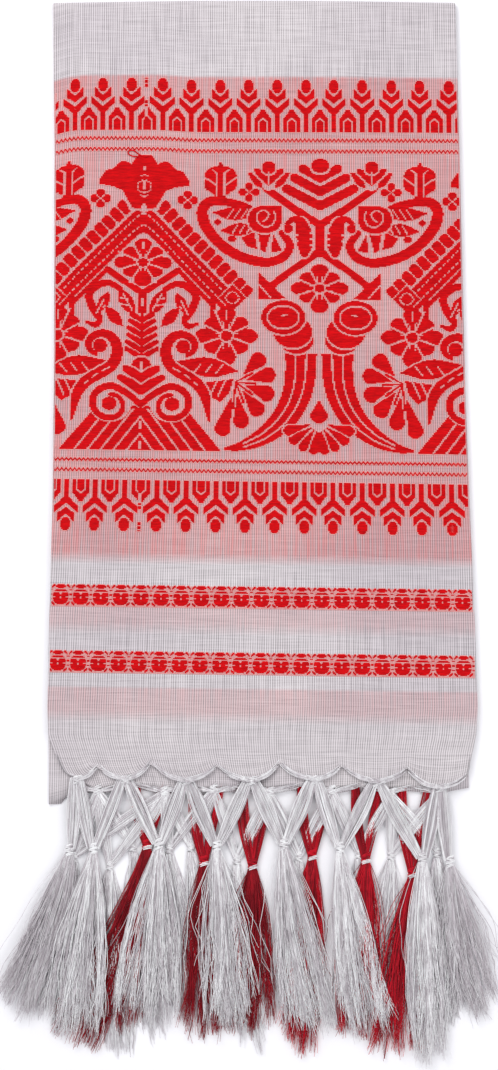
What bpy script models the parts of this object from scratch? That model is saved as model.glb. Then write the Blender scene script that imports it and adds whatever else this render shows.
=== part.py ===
"""A cotton gamosa, folded flat: both sides turned under, then doubled once across, with a knotted fringe.

The cloth lies on the surface z = 0, X across it and +Y towards the fold. The origin is on its flat underside.
Sizes are in millimetres and become metres in to_mesh.
"""

import math

import bmesh
import bpy
from mathutils import Vector

MM = 0.001

# The cloth: one sheet, four layers deep.
SHEET = 1.0  # thickness of one layer
LAYER_STEP = 1.6  # from the middle of one layer to the middle of the next
FOLD_RADIUS = 1.5 * LAYER_STEP  # of the outer layer's middle, where the cloth doubles over
PILE_MIDDLE = FOLD_RADIUS + SHEET / 2  # height of the crease between the two halves
FOLD_EDGE = 328.0  # the doubled edge, at its two corners
FOLD_BOW = 2.0  # how much further the doubled edge stands at the middle
SELVAGE_MEETS = -4.0  # where the two turned-under sides meet
SELVAGE_GAP = 6.0

# Where the side folds run, a row for each height up the cloth: (height, left fold, right fold).
SIDE_FOLDS = (
    (-270.0, -181.0, 182.0),
    (-200.0, -179.6, 179.6),
    (-100.0, -176.8, 175.2),
    (0.0, -175.6, 171.4),
    (200.0, -175.0, 166.6),
    (FOLD_EDGE, -176.4, 163.0),
)
# The front half draws in where its warp ends are gathered, and the back half hangs straighter.
FRONT_END = ((-293.0, -180.4, 180.6), (-308.0, -175.0, 177.4))
FRONT_HEM = (-163.0, 173.6)  # its side folds at the hem
BACK_END = ((-293.0, -180.4, 180.6), (-322.0, -180.0, 174.6))
BACK_HEM = (-179.6, 173.8)
BACK_HEM_HEIGHTS = (-352.0, -357.0)  # left and right end
FRONT_SIDES_HEM = -338.0  # the turned-under sides end lower than the scallops above them
BACK_SIDES_HEM = -344.0
TURN_DROP = 2.0  # how much a hem falls or rises round a side fold

# The front hem's scallops, a row for each: (cusp at its left, its height, gather at its foot, foot's height).
SCALLOPS = (
    (-163.0, -326.0, -157.0, -328.0),
    (-138.5, -317.5, -116.5, -328.0),
    (-93.4, -313.5, -64.6, -329.0),
    (-38.0, -317.0, -9.4, -329.0),
    (14.8, -315.0, 44.5, -328.0),
    (67.5, -317.5, 97.2, -330.0),
    (122.7, -320.0, 150.5, -335.0),
)
FRONT_HEM_END = -326.0  # the last scallop's height at the right side fold
CUSP_TOP = max(row[1] for row in SCALLOPS)
SCALLOP_POWER = 2.4  # how flat a scallop's foot is
SCALLOP_BULGE = 1.2  # how far a scallop's foot stands off the layer below

# How finely the sheet is divided.
SCALLOP_SHARES = (0.45, 0.8)  # columns between a scallop's gather and its cusp
NARROWEST_COLUMN = 10.0
SIDE_SHARES = (0.0, 0.06, 0.5, 1.0)  # columns on a turned-under side, from its fold to its selvage
TURN_STEPS = 3
FOLD_STEPS = 4

# The fringe: a heading along each hem, knots, legs between knots, and skirts of strands.
SEAT = 0.8  # from a hem down to its heading
HEADING = (1.8, 1.5)  # the heading's depth and thickness
HEADING_END = 2.4  # how far the front heading stops short of the side folds
KNOT_LENGTH = 11.0
KNOT_HALF_WIDTH = 4.4
# A knot's ridges: (share of its length, share of its width).
KNOT_RIDGES = ((0.0, 0.6), (0.2, 1.0), (0.42, 0.8), (0.62, 1.0), (0.82, 0.8), (1.0, 0.9))
LEG_WIDTHS = (4.2, 7.0, 4.2)  # at its top, middle and foot
ROOT_LENGTH = 3.0  # a skirt's root, half of it inside the knot
STRAND_INSET = 0.14  # between the strands at the root
STRAND_FILL = 0.8  # a strand's share of its pitch at the tip
RAGGED = 9.0  # how unevenly the strands end

# Levels in which each fringe lies, so that one passes over another: (bottom, top).
BACK_LEVEL = (0.0, 2.0)
RED_LEVEL = (2.3, 4.3)
FRONT_LEVEL = (4.6, 7.0)

# Skirts, a row for each: (knot x, knot top y, tip x, tip y, half width at the tips).
FRONT_SKIRTS = (
    (-163.5, -385.0, -204.0, -528.0, 17.0),
    (-143.1, -384.0, -159.0, -540.0, 23.0),
    (-87.7, -380.0, -97.0, -532.0, 25.0),
    (-38.3, -381.5, -29.0, -534.0, 20.0),
    (18.4, -380.0, 42.0, -543.0, 20.0),
    (66.1, -383.0, 86.0, -541.0, 21.0),
    (136.0, -392.0, 141.0, -562.0, 14.0),
    (159.5, -395.0, 181.0, -522.0, 17.0),
)
BACK_SKIRTS = (
    (-160.0, -392.0, -178.0, -530.0, 15.0),
    (-129.2, -400.0, -125.0, -553.0, 15.0),
    (-109.7, -384.0, -93.0, -536.0, 14.0),
    (-78.2, -386.0, -64.0, -527.0, 12.0),
    (-60.4, -384.0, -38.0, -529.0, 11.0),
    (-21.3, -395.0, -7.0, -548.0, 13.0),
    (31.5, -392.0, 22.0, -525.0, 12.0),
    (82.5, -390.0, 75.0, -532.0, 13.0),
    (109.7, -391.0, 104.0, -528.0, 12.0),
    (149.0, -389.0, 158.0, -530.0, 14.0),
)
RED_LEFT_SKIRTS = (
    (-97.8, -381.0, -142.0, -542.0, 28.0),
    (-49.3, -395.0, -50.0, -533.0, 14.0),
    (-8.1, -398.0, -15.0, -530.0, 16.0),
)
RED_RIGHT_SKIRTS = (
    (42.5, -390.0, 32.0, -546.0, 11.0),
    (88.1, -393.0, 83.0, -545.0, 13.0),
    (127.5, -405.0, 118.0, -549.0, 18.0),
)
RED_LEFT_HEADING = (-122.0, -12.0)
RED_RIGHT_HEADING = (36.0, 134.0)
FRONT_STRANDS = 6  # across a skirt, in each of its two rows
BACK_STRANDS = 4
RED_STRANDS = 4
FOOT_SPREAD = 7.0  # of the two legs that a back or red knot hangs by

WHITE_COTTON = (0.80, 0.78, 0.80, 1.0)
RED_COTTON = (0.45, 0.0, 0.012, 1.0)


def clear_scene():
    for item in list(bpy.data.objects):
        bpy.data.objects.remove(item, do_unlink=True)


def yarn_material(name, colour):
    material = bpy.data.materials.new(name)
    material.use_nodes = True
    shader = material.node_tree.nodes["Principled BSDF"]
    shader.inputs["Base Color"].default_value = colour
    shader.inputs["Roughness"].default_value = 0.9
    shader.inputs["Metallic"].default_value = 0.0
    return material


def between(start, end, share):
    return start + (end - start) * share


def to_mesh(name, bm):
    """Scales a mesh drawn in millimetres to metres and puts it in an object."""
    bmesh.ops.scale(bm, vec=(MM, MM, MM), verts=bm.verts)
    mesh = bpy.data.meshes.new(name)
    bm.to_mesh(mesh)
    bm.free()
    return bpy.data.objects.new(name, mesh)


def scallop_sides():
    """Each scallop with its left and right cusp: (left, height, gather, foot, right, height)."""
    cusps = [row[:2] for row in SCALLOPS] + [(FRONT_HEM[1], FRONT_HEM_END)]
    return [row + cusp for row, cusp in zip(SCALLOPS, cusps[1:])]


def scallop_height(x):
    """Height of the front hem at x: a round foot at each gather, a cusp between neighbours."""
    sides = scallop_sides()
    for left, left_height, gather, foot, right, right_height in sides:
        if x <= right or right == sides[-1][4]:
            if x < gather:
                return between(foot, left_height, min((gather - x) / (gather - left), 1.0) ** SCALLOP_POWER)
            return between(foot, right_height, min((x - gather) / (right - gather), 1.0) ** SCALLOP_POWER)


def panel_columns():
    """Shares across the panel that put a column on every cusp and gather, and between them."""
    marks = []
    for left, _, gather, _, right, _ in scallop_sides():
        marks.append(left)
        if gather - left > NARROWEST_COLUMN:
            marks += [between(gather, left, share) for share in reversed(SCALLOP_SHARES)]
        marks.append(gather)
        marks += [between(gather, right, share) for share in SCALLOP_SHARES]
    marks.append(FRONT_HEM[1])
    width = FRONT_HEM[1] - FRONT_HEM[0]
    return [(x - FRONT_HEM[0]) / width for x in marks]


def sheet_columns():
    """The sheet from selvage to selvage: (part, share), the part one of side, turn or panel, left or right."""
    columns = [("left side", share) for share in reversed(SIDE_SHARES)]
    columns += [("left turn", 1 - i / TURN_STEPS) for i in range(1, TURN_STEPS)]
    columns += [("panel", share) for share in panel_columns()]
    columns += [("right turn", i / TURN_STEPS) for i in range(1, TURN_STEPS)]
    columns += [("right side", share) for share in SIDE_SHARES]
    return columns


def across(column, left, right):
    """A column's place between the side folds, and how deep it lies behind the panel."""
    part, share = column
    turn = LAYER_STEP / 2
    if part == "panel":
        return between(left, right, share), 0.0
    if part == "left side":
        return between(left, SELVAGE_MEETS - SELVAGE_GAP / 2, share), LAYER_STEP
    if part == "right side":
        return between(right, SELVAGE_MEETS + SELVAGE_GAP / 2, share), LAYER_STEP
    angle = math.pi * share
    depth = turn * (1 - math.cos(angle))
    if part == "left turn":
        return left - turn * math.sin(angle), depth
    return right + turn * math.sin(angle), depth


def front_point(column, row):
    height, left, right = row
    x, depth = across(column, left, right)
    return Vector((x, height, PILE_MIDDLE + FOLD_RADIUS - depth))


def hem_height(column, depth, panel_height, side_height):
    """Height of a hem that passes from the panel round a side fold to the turned-under side."""
    part, share = column
    if part.endswith("side") and share > 0:
        return side_height
    drop = math.copysign(TURN_DROP, side_height - panel_height)
    return panel_height + drop * depth / LAYER_STEP


def front_hem_point(column):
    x, depth = across(column, *FRONT_HEM)
    height = hem_height(column, depth, scallop_height(x), FRONT_SIDES_HEM)
    lift = 0.0
    if column[0] == "panel":
        lift = SCALLOP_BULGE * (CUSP_TOP - height) / (CUSP_TOP - SCALLOPS[-1][3])
        lift *= min(1.0, 12 * column[1], 12 * (1 - column[1]))
    return Vector((x, height, PILE_MIDDLE + FOLD_RADIUS - depth + lift))


def fold_point(column, angle):
    """A point on the doubled edge, angle 0 on the front half and pi on the back half."""
    _, left, right = SIDE_FOLDS[-1]
    x, depth = across(column, left, right)
    share = (x - left) / (right - left)
    middle = FOLD_EDGE - FOLD_RADIUS + FOLD_BOW * math.sin(math.pi * min(max(share, 0.0), 1.0))
    radius = FOLD_RADIUS - depth
    return Vector((x, middle + radius * math.sin(angle), PILE_MIDDLE + radius * math.cos(angle)))


def back_point(column, row):
    height, left, right = row
    x, depth = across(column, left, right)
    return Vector((x, height, PILE_MIDDLE - FOLD_RADIUS + depth))


def back_hem_height(x):
    share = (x - BACK_HEM[0]) / (BACK_HEM[1] - BACK_HEM[0])
    return between(*BACK_HEM_HEIGHTS, share)


def back_hem_point(column):
    x, depth = across(column, *BACK_HEM)
    height = hem_height(column, depth, back_hem_height(x), BACK_SIDES_HEM)
    return Vector((x, height, PILE_MIDDLE - FOLD_RADIUS + depth))


def sheet_rows():
    """The sheet from the front hem over the fold to the back hem: a function for each row of points."""
    rows = [front_hem_point]
    rows += [lambda c, r=row: front_point(c, r) for row in reversed(FRONT_END)]
    rows += [lambda c, r=row: front_point(c, r) for row in SIDE_FOLDS[:-1]]
    angles = [math.pi * i / FOLD_STEPS for i in range(FOLD_STEPS + 1)]
    rows += [lambda c, a=angle: fold_point(c, a) for angle in angles]
    rows += [lambda c, r=row: back_point(c, r) for row in reversed(SIDE_FOLDS[:-1])]
    rows += [lambda c, r=row: back_point(c, r) for row in BACK_END]
    rows.append(back_hem_point)
    return rows


def make_cloth(material):
    columns = sheet_columns()
    rows = sheet_rows()
    bm = bmesh.new()
    bmesh.ops.create_grid(bm, x_segments=len(columns) - 1, y_segments=len(rows) - 1, size=0.5)
    for vert in bm.verts:
        column = columns[round((vert.co.x + 0.5) * (len(columns) - 1))]
        row = rows[round((vert.co.y + 0.5) * (len(rows) - 1))]
        vert.co = row(column)
    cloth = to_mesh("cloth", bm)
    solidify = cloth.modifiers.new("sheet", "SOLIDIFY")
    solidify.thickness = SHEET * MM
    solidify.offset = 0.0
    cloth.data.materials.append(material)
    return cloth


def loft(bm, rings):
    """Skins rings of equal count and closes both ends. A ring is a list of points, turning the same way."""
    loops = [[bm.verts.new(point) for point in ring] for ring in rings]
    count = len(loops[0])
    for lower, upper in zip(loops, loops[1:]):
        for i in range(count):
            j = (i + 1) % count
            bm.faces.new((lower[i], lower[j], upper[j], upper[i]))
    bm.faces.new(tuple(reversed(loops[0])))
    bm.faces.new(loops[-1])


def level_middle(level):
    return (level[0] + level[1]) / 2


def bar(path, widths, thickness):
    """A four-sided bar along a path, its width level and square to the path seen from above."""
    bm = bmesh.new()
    rings = []
    for i, point in enumerate(path):
        ahead = path[min(i + 1, len(path) - 1)] - path[max(i - 1, 0)]
        side = Vector((-ahead.y, ahead.x, 0.0)).normalized() * widths[i] / 2
        up = Vector((0.0, 0.0, thickness / 2))
        rings.append([point - side - up, point + side - up, point + side + up, point - side + up])
    loft(bm, rings)
    bmesh.ops.recalc_face_normals(bm, faces=bm.faces)
    return bm


def heading(xs, edge_at, level):
    """The gathered roll under a hem, a four-sided bar whose sides run parallel to that hem."""
    depth, thickness = HEADING
    low = level - thickness / 2
    high = level + thickness / 2
    bm = bmesh.new()
    rings = []
    for x in xs:
        top = edge_at(x) - SEAT
        rings.append(
            [
                Vector((x, top, low)),
                Vector((x, top - depth, low)),
                Vector((x, top - depth, high)),
                Vector((x, top, high)),
            ]
        )
    loft(bm, rings)
    bmesh.ops.recalc_face_normals(bm, faces=bm.faces)
    return bm


def knot(x, top, level):
    """A ridged six-sided knot, flat above and below."""
    bm = bmesh.new()
    middle = level_middle(level)
    rings = []
    for share, width in KNOT_RIDGES:
        y = top - KNOT_LENGTH * share
        half = KNOT_HALF_WIDTH * width
        rise = (level[1] - level[0]) / 2 * (0.5 + 0.5 * width)
        ring = [(-1, 0), (-0.5, -1), (0.5, -1), (1, 0), (0.5, 1), (-0.5, 1)]
        rings.append([Vector((x + half * i, y, middle + rise * j)) for i, j in ring])
    loft(bm, rings)
    bmesh.ops.recalc_face_normals(bm, faces=bm.faces)
    return bm


def ragged(index):
    """An even spread of offsets between -1 and 1 that doesn't look regular."""
    return 2 * math.modf(0.31 + index * 0.618)[0] - 1


def skirt(row, level, count):
    """Two rows of strands that leave one root and stand apart to their tips."""
    x, top, tip_x, tip_y, spread = row
    root_y = top - KNOT_LENGTH - ROOT_LENGTH / 2
    half = KNOT_HALF_WIDTH * 0.8
    height = level[1] - level[0]
    bm = bmesh.new()
    bmesh.ops.create_grid(bm, x_segments=count, y_segments=2, size=0.5)
    cells = list(bm.faces)
    slots = {cell: cell.calc_center_median().copy() for cell in cells}
    back = bmesh.ops.extrude_edge_only(bm, edges=[edge for edge in bm.edges if edge.is_boundary])
    for vert in bm.verts:
        vert.co = (x + 2 * half * vert.co.x, root_y, level_middle(level) + 0.9 * height * vert.co.y)
    rim = [item for item in back["geom"] if isinstance(item, bmesh.types.BMVert)]
    bmesh.ops.translate(bm, vec=(0, ROOT_LENGTH, 0), verts=rim)
    bmesh.ops.contextual_create(bm, geom=[edge for edge in bm.edges if edge.is_boundary])
    bmesh.ops.inset_individual(bm, faces=cells, thickness=STRAND_INSET, use_even_offset=True)
    pitch = 2 * spread / (2 * count - 1)
    for cell in cells:
        slot = slots[cell]
        upper = slot.y > 0
        index = 2 * round((slot.x + 0.5) * count - 0.5) + (1 if upper else 0)
        floor = level[0] if not upper else level[1] - 0.42 * height
        end_x = tip_x - spread + pitch * index
        end_y = tip_y + RAGGED * ragged(index)
        for share in (0.5, 1.0):
            face = bmesh.ops.extrude_discrete_faces(bm, faces=[cell])["faces"][0]
            fan = share**1.25
            middle = between(x + slot.x * 2 * half, end_x, fan)
            wide = between(2 * half / count - 2 * STRAND_INSET, 2 * pitch * STRAND_FILL, fan)
            y = between(root_y, end_y, share)
            centre = face.calc_center_median()
            for vert in face.verts:
                side = 1 if vert.co.x > centre.x else -1
                above = 0.42 * height if vert.co.z > centre.z else 0.0
                vert.co = (middle + side * wide / 2, y, floor + above)
            cell = face
    bmesh.ops.recalc_face_normals(bm, faces=bm.faces)
    return bm


def leg(start, end, level):
    """A flat bundle of warp from one knot to the next, a little bowed."""
    middle = level_middle(level)
    points = []
    for share, drift in ((0.0, 0.0), (0.5, 0.42), (1.0, 1.0)):
        x = between(start[0], end[0], drift)
        points.append(Vector((x, between(start[1], end[1], share), middle)))
    return bar(points, LEG_WIDTHS, 0.7 * (level[1] - level[0]))


def fuse(name, pieces, material):
    """Joins a heading with all that is rooted in it into one closed solid."""
    helpers = bpy.data.collections.new(name + " pieces")
    objects = [to_mesh(name, bm) for bm in pieces]
    body, rest = objects[0], objects[1:]
    bpy.context.scene.collection.objects.link(body)
    bpy.context.scene.collection.children.link(helpers)
    for item in rest:
        helpers.objects.link(item)
    union = body.modifiers.new("union", "BOOLEAN")
    union.operation = "UNION"
    union.operand_type = "COLLECTION"
    union.collection = helpers
    union.solver = "EXACT"
    evaluated = body.evaluated_get(bpy.context.evaluated_depsgraph_get())
    mesh = bpy.data.meshes.new_from_object(evaluated)
    for item in objects:
        bpy.data.objects.remove(item, do_unlink=True)
    bpy.data.collections.remove(helpers)
    mesh.name = name
    mesh.materials.clear()
    mesh.materials.append(material)
    return bpy.data.objects.new(name, mesh)


def hung_skirts(rows, level, count, edge_at, root_level):
    """Skirts that each hang from a heading by a pair of legs."""
    pieces = []
    for row in rows:
        x, top = row[0], row[1]
        pieces.append(knot(x, top, level))
        pieces.append(skirt(row, level, count))
        for side in (-1, 1):
            start = (x + side * FOOT_SPREAD, edge_at(x) - SEAT - HEADING[0] * 0.6)
            end = (x + side * 1.2, top - KNOT_LENGTH * 0.3)
            pieces.append(hung_leg(start, end, root_level, level_middle(level), level))
    return pieces


def hung_leg(start, end, start_level, end_level, level):
    """A leg that leaves its heading at one level and reaches its knot at another."""
    points = []
    for share in (0.0, 0.35, 1.0):
        lift = min(1.0, share / 0.35)
        points.append(
            Vector(
                (
                    between(start[0], end[0], share),
                    between(start[1], end[1], share),
                    between(start_level, end_level, lift),
                )
            )
        )
    return bar(points, LEG_WIDTHS, 0.55 * (level[1] - level[0]))


def make_front_fringe(material):
    width = FRONT_HEM[1] - FRONT_HEM[0]
    xs = [FRONT_HEM[0] + width * share for share in panel_columns()]
    xs[0] += HEADING_END
    xs[-1] -= HEADING_END
    hem_level = PILE_MIDDLE + FOLD_RADIUS + SCALLOP_BULGE / 2
    pieces = [heading(xs, scallop_height, hem_level)]
    gathers = []
    for _, _, gather, foot in SCALLOPS:
        top = foot - SEAT - HEADING[0] * 0.5
        gathers.append((gather, top - KNOT_LENGTH * 0.7))
        pieces.append(knot(gather, top, FRONT_LEVEL))
    for row in FRONT_SKIRTS:
        pieces.append(knot(row[0], row[1], FRONT_LEVEL))
        pieces.append(skirt(row, FRONT_LEVEL, FRONT_STRANDS))
    for i, start in enumerate(gathers):
        for row, side in ((FRONT_SKIRTS[i], 1), (FRONT_SKIRTS[i + 1], -1)):
            end = (row[0] + side * 1.2, row[1] - KNOT_LENGTH * 0.3)
            pieces.append(leg((start[0] - side * 1.6, start[1]), end, FRONT_LEVEL))
    return fuse("fringe_front", pieces, material)


def make_back_fringe(material):
    steps = 12
    xs = [between(*BACK_HEM, i / steps) for i in range(steps + 1)]
    root_level = SHEET / 2 + (HEADING[1] - SHEET) / 2
    pieces = [heading(xs, back_hem_height, root_level)]
    pieces += hung_skirts(BACK_SKIRTS, BACK_LEVEL, BACK_STRANDS, back_hem_height, root_level)
    return fuse("fringe_back", pieces, material)


def make_red_fringe(name, span, rows, material):
    root_level = PILE_MIDDLE - FOLD_RADIUS + LAYER_STEP
    pieces = [heading(span, lambda x: BACK_SIDES_HEM, root_level)]
    pieces += hung_skirts(rows, RED_LEVEL, RED_STRANDS, lambda x: BACK_SIDES_HEM, root_level)
    return fuse(name, pieces, material)


def main():
    clear_scene()
    white = yarn_material("white cotton", WHITE_COTTON)
    red = yarn_material("red cotton", RED_COTTON)
    gamosa = bpy.data.collections.new("gamosa")
    bpy.context.scene.collection.children.link(gamosa)
    parts = (
        make_cloth(white),
        make_front_fringe(white),
        make_back_fringe(white),
        make_red_fringe("fringe_red_left", RED_LEFT_HEADING, RED_LEFT_SKIRTS, red),
        make_red_fringe("fringe_red_right", RED_RIGHT_HEADING, RED_RIGHT_SKIRTS, red),
    )
    for item in parts:
        gamosa.objects.link(item)


main()
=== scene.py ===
# %% [markdown]
# A folded cotton gamosa, dressed on its solid model
#
# The part is a thin cotton towel cloth, turned under at both sides, doubled across and laid flat, with its
# warp ends knotted into a deep fringe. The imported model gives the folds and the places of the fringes. This
# lesson puts the woven cloth, its red figure and every thread of the fringe on them.

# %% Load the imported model
import math

import bpy
import numpy as np
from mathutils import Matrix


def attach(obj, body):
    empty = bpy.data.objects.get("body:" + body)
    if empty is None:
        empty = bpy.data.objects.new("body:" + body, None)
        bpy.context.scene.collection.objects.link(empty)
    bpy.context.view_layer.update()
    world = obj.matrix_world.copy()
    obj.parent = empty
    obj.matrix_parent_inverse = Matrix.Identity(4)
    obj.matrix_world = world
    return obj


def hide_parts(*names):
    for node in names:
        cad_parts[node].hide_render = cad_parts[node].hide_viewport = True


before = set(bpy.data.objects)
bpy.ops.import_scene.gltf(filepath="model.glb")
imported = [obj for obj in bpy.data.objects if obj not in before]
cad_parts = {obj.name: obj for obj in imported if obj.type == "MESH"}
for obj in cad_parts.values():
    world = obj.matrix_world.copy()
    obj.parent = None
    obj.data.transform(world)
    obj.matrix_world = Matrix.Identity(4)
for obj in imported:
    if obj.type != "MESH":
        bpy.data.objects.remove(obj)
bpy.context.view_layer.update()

MM = 0.001

# %% [markdown]
# The camera stands straight above the cloth, as in the photograph, with a long lens so that nothing looks
# tapered. It is made first, because it fixes what counts as large or fine.

# %% Camera
PHOTO_SIZE = (498, 1070)
PHOTO_SCALE = 0.85  # mm of cloth for one pixel of the photograph
PHOTO_CENTRE = (-11.05, -123.25)  # mm, what lies in the middle of the photograph
LENS = 85.0
FILM = 36.0

camera = bpy.data.objects.new("camera", bpy.data.cameras.new("camera"))
bpy.context.scene.collection.objects.link(camera)
camera.data.lens = LENS
camera.data.sensor_width = FILM
view_height = PHOTO_SIZE[1] * PHOTO_SCALE * MM
camera.location = (PHOTO_CENTRE[0] * MM, PHOTO_CENTRE[1] * MM, view_height * LENS / FILM)
bpy.context.scene.camera = camera
print("camera height, m:", round(camera.location.z, 3))

# %% [markdown]
# A few helpers serve every cell below. One turns the usual hex code of a colour into the linear values that
# Blender works in, one adds a node with its settings and links, and two start an object and a material.

# %% Helpers for colours and nodes
def colour(code):
    """Linear red, green, blue and alpha of an sRGB hex code."""
    parts = [int(code[i : i + 2], 16) / 255 for i in (1, 3, 5)]
    linear = [part / 12.92 if part <= 0.04045 else ((part + 0.055) / 1.055) ** 2.4 for part in parts]
    return (*linear, 1.0)


def add(tree, kind, inputs=None, stops=(), **settings):
    """Adds a node. An input is given a value, a socket or a node, and stops fill a colour ramp."""
    node = tree.nodes.new(kind)
    for name, value in settings.items():
        setattr(node, name, value)
    for key, value in (inputs or {}).items():
        if isinstance(value, bpy.types.Node):
            value = value.outputs[0]
        if isinstance(value, bpy.types.NodeSocket):
            tree.links.new(value, node.inputs[key])
        else:
            node.inputs[key].default_value = value
    for number, (position, code) in enumerate(stops):
        elements = node.color_ramp.elements
        stop = elements[number] if number < 2 else elements.new(position)
        stop.position = position
        stop.color = colour(code)
    return node


def new_object(name, data):
    item = bpy.data.objects.new(name, data)
    bpy.context.scene.collection.objects.link(item)
    return item


def new_material(name):
    """An empty material with its shader, ready for nodes: (material, tree, shader)."""
    material = bpy.data.materials.new(name)
    material.use_nodes = True
    tree = material.node_tree
    return material, tree, tree.nodes["Principled BSDF"]


# %% [markdown]
# The ground is handloom cotton, nearly gauze. The reed that beats in the weft leaves its warp ends in pairs,
# which the eye sees as fine upright lines, so the colour and the bump both carry those lines. Where the red
# figure weft runs behind the ground between motifs, it shines through as a pink haze. The lines follow the
# cloth's own map, in metres across and along the sheet, so they bend with it.

# %% Material: handloom cotton ground
REED_PITCH = 1.85  # mm between the reed's lines
PICK_PITCH = 1.3  # mm, two picks together, because single ones are too fine to show
STITCH = PHOTO_SCALE  # mm, one stitch of the weaver's chart
# Where the red weft floats behind the ground: (first row, last row, strength), in rows from the fold.
HAZE = ((77, 554, 0.9), (604, 624, 0.4), (686, 712, 0.42))


def cotton_ground():
    material, tree, shader = new_material("handloom cotton ground")
    cloth_map = add(tree, "ShaderNodeUVMap", uv_map="cloth")
    axes = add(tree, "ShaderNodeSeparateXYZ", {0: cloth_map})
    wander = add(tree, "ShaderNodeTexNoise", {"Vector": cloth_map, "Scale": 22.0, "Detail": 3.0})
    across = add(
        tree, "ShaderNodeMath", {0: wander, 1: 0.0012, 2: axes.outputs["X"]}, operation="MULTIPLY_ADD"
    )
    waves = []
    for place, pitch in ((across, REED_PITCH), (axes.outputs["Y"], PICK_PITCH)):
        turns = add(tree, "ShaderNodeMath", {0: place, 1: math.tau / (pitch * MM)}, operation="MULTIPLY")
        waves.append(add(tree, "ShaderNodeMath", {0: turns}, operation="SINE"))
    grains = []
    for scale in ((900.0, 25.0, 1.0), (30.0, 700.0, 1.0)):
        stretched = add(tree, "ShaderNodeMapping", {"Vector": cloth_map, "Scale": scale})
        grains.append(add(tree, "ShaderNodeTexNoise", {"Vector": stretched, "Scale": 1.0, "Detail": 2.0}))
    streaks, slubs = grains
    weave_level = 0.2
    for part, share in ((streaks, 0.6), (waves[0], 0.24), (waves[1], 0.07), (slubs, 0.5)):
        inputs = {0: part, 1: share, 2: weave_level}
        weave_level = add(tree, "ShaderNodeMath", inputs, operation="MULTIPLY_ADD")
    tones = ((0.42, "#989395"), (0.72, "#c6c0c1"), (1.0, "#dfdadb"))
    thread_tone = add(tree, "ShaderNodeValToRGB", {"Fac": weave_level}, stops=tones)
    broad = add(tree, "ShaderNodeTexNoise", {"Vector": cloth_map, "Scale": 7.0, "Detail": 3.0})
    tint = add(tree, "ShaderNodeValToRGB", {"Fac": broad}, stops=((0.35, "#efebee"), (0.65, "#fdfbfb")))
    haze = 0.0
    for first, last, share in HAZE:
        ends = []
        for low, high, start, end in ((first - 1.5, first + 1.5, 0.0, share), (last - 3, last + 9, 1.0, 0.0)):
            inputs = {0: axes.outputs["Y"], 1: low * STITCH * MM, 2: high * STITCH * MM, 3: start, 4: end}
            ends.append(add(tree, "ShaderNodeMapRange", inputs))
        haze = add(tree, "ShaderNodeMath", {0: ends[0], 1: ends[1], 2: haze}, operation="MULTIPLY_ADD")
    uneven = add(tree, "ShaderNodeMapRange", {0: streaks, 1: 0.25, 2: 0.75, 3: 0.35, 4: 1.25})
    haze = add(tree, "ShaderNodeMath", {0: haze, 1: uneven}, operation="MULTIPLY")
    times = {"data_type": "RGBA", "blend_type": "MULTIPLY"}
    white = add(tree, "ShaderNodeMix", {"Factor": 1.0, 6: thread_tone, 7: tint}, **times)
    pink = add(tree, "ShaderNodeMix", {"Factor": 1.0, 6: white.outputs[2], 7: colour("#fcaeac")}, **times)
    inputs = {"Factor": haze, 6: white.outputs[2], 7: pink.outputs[2]}
    final = add(tree, "ShaderNodeMix", inputs, data_type="RGBA")
    bump = add(tree, "ShaderNodeBump", {"Height": weave_level, "Strength": 0.35, "Distance": 0.25 * MM})
    tree.links.new(final.outputs[2], shader.inputs["Base Color"])
    tree.links.new(bump.outputs[0], shader.inputs["Normal"])
    shader.inputs["Roughness"].default_value = 0.85
    shader.inputs["Sheen Weight"].default_value = 0.25
    shader.inputs["Sheen Roughness"].default_value = 0.5
    return material


ground_cotton = cotton_ground()
print("ground: reed lines every", REED_PITCH, "mm")

# %% [markdown]
# The figure is laid in by hand with a thick, soft, bright red cotton weft that floats over the ground. The
# floats lie side by side, so the red has a fine level grain. Around each motif the last floats pass under
# the ground, and there the red shows through as a pale pink stitch.

# %% Materials: red figure weft and the pale stitches beside it
def yarn_material(name, dark, light, scale, roughness, sheen, attribute=None, shine=0.3):
    """A yarn whose colour varies along it and, where a shade is stored, from yarn to yarn."""
    material, tree, shader = new_material(name)
    place = add(tree, "ShaderNodeTexCoord")
    stretched = add(tree, "ShaderNodeMapping", {"Vector": place.outputs["Object"], "Scale": scale})
    fibre = add(tree, "ShaderNodeTexNoise", {"Vector": stretched, "Scale": 1.0, "Detail": 3.0})
    level = fibre
    if attribute:
        stored = add(tree, "ShaderNodeAttribute", attribute_name=attribute)
        level = add(tree, "ShaderNodeMath", {0: stored.outputs["Fac"], 1: fibre}, operation="ADD")
        level = add(tree, "ShaderNodeMath", {0: level, 1: 0.5}, operation="MULTIPLY")
    tone = add(tree, "ShaderNodeValToRGB", {"Fac": level}, stops=((0.3, dark), (0.7, light)))
    bump = add(tree, "ShaderNodeBump", {"Height": fibre, "Strength": 0.5, "Distance": 0.15 * MM})
    tree.links.new(tone.outputs["Color"], shader.inputs["Base Color"])
    tree.links.new(bump.outputs[0], shader.inputs["Normal"])
    shader.inputs["Roughness"].default_value = roughness
    shader.inputs["Sheen Weight"].default_value = sheen
    shader.inputs["Specular IOR Level"].default_value = shine
    return material


figure_red = yarn_material(
    "soft red cotton weft", "#b60008", "#e4050f", (120.0, 900.0, 900.0), roughness=0.75, sheen=0.0, shine=0.15
)
pale_stitch = yarn_material(
    "white cotton over red weft", "#e48f8e", "#f2b3ae", (500.0, 500.0, 500.0), roughness=0.85, sheen=0.1
)
print("figure materials:", figure_red.name, "and", pale_stitch.name)
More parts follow.
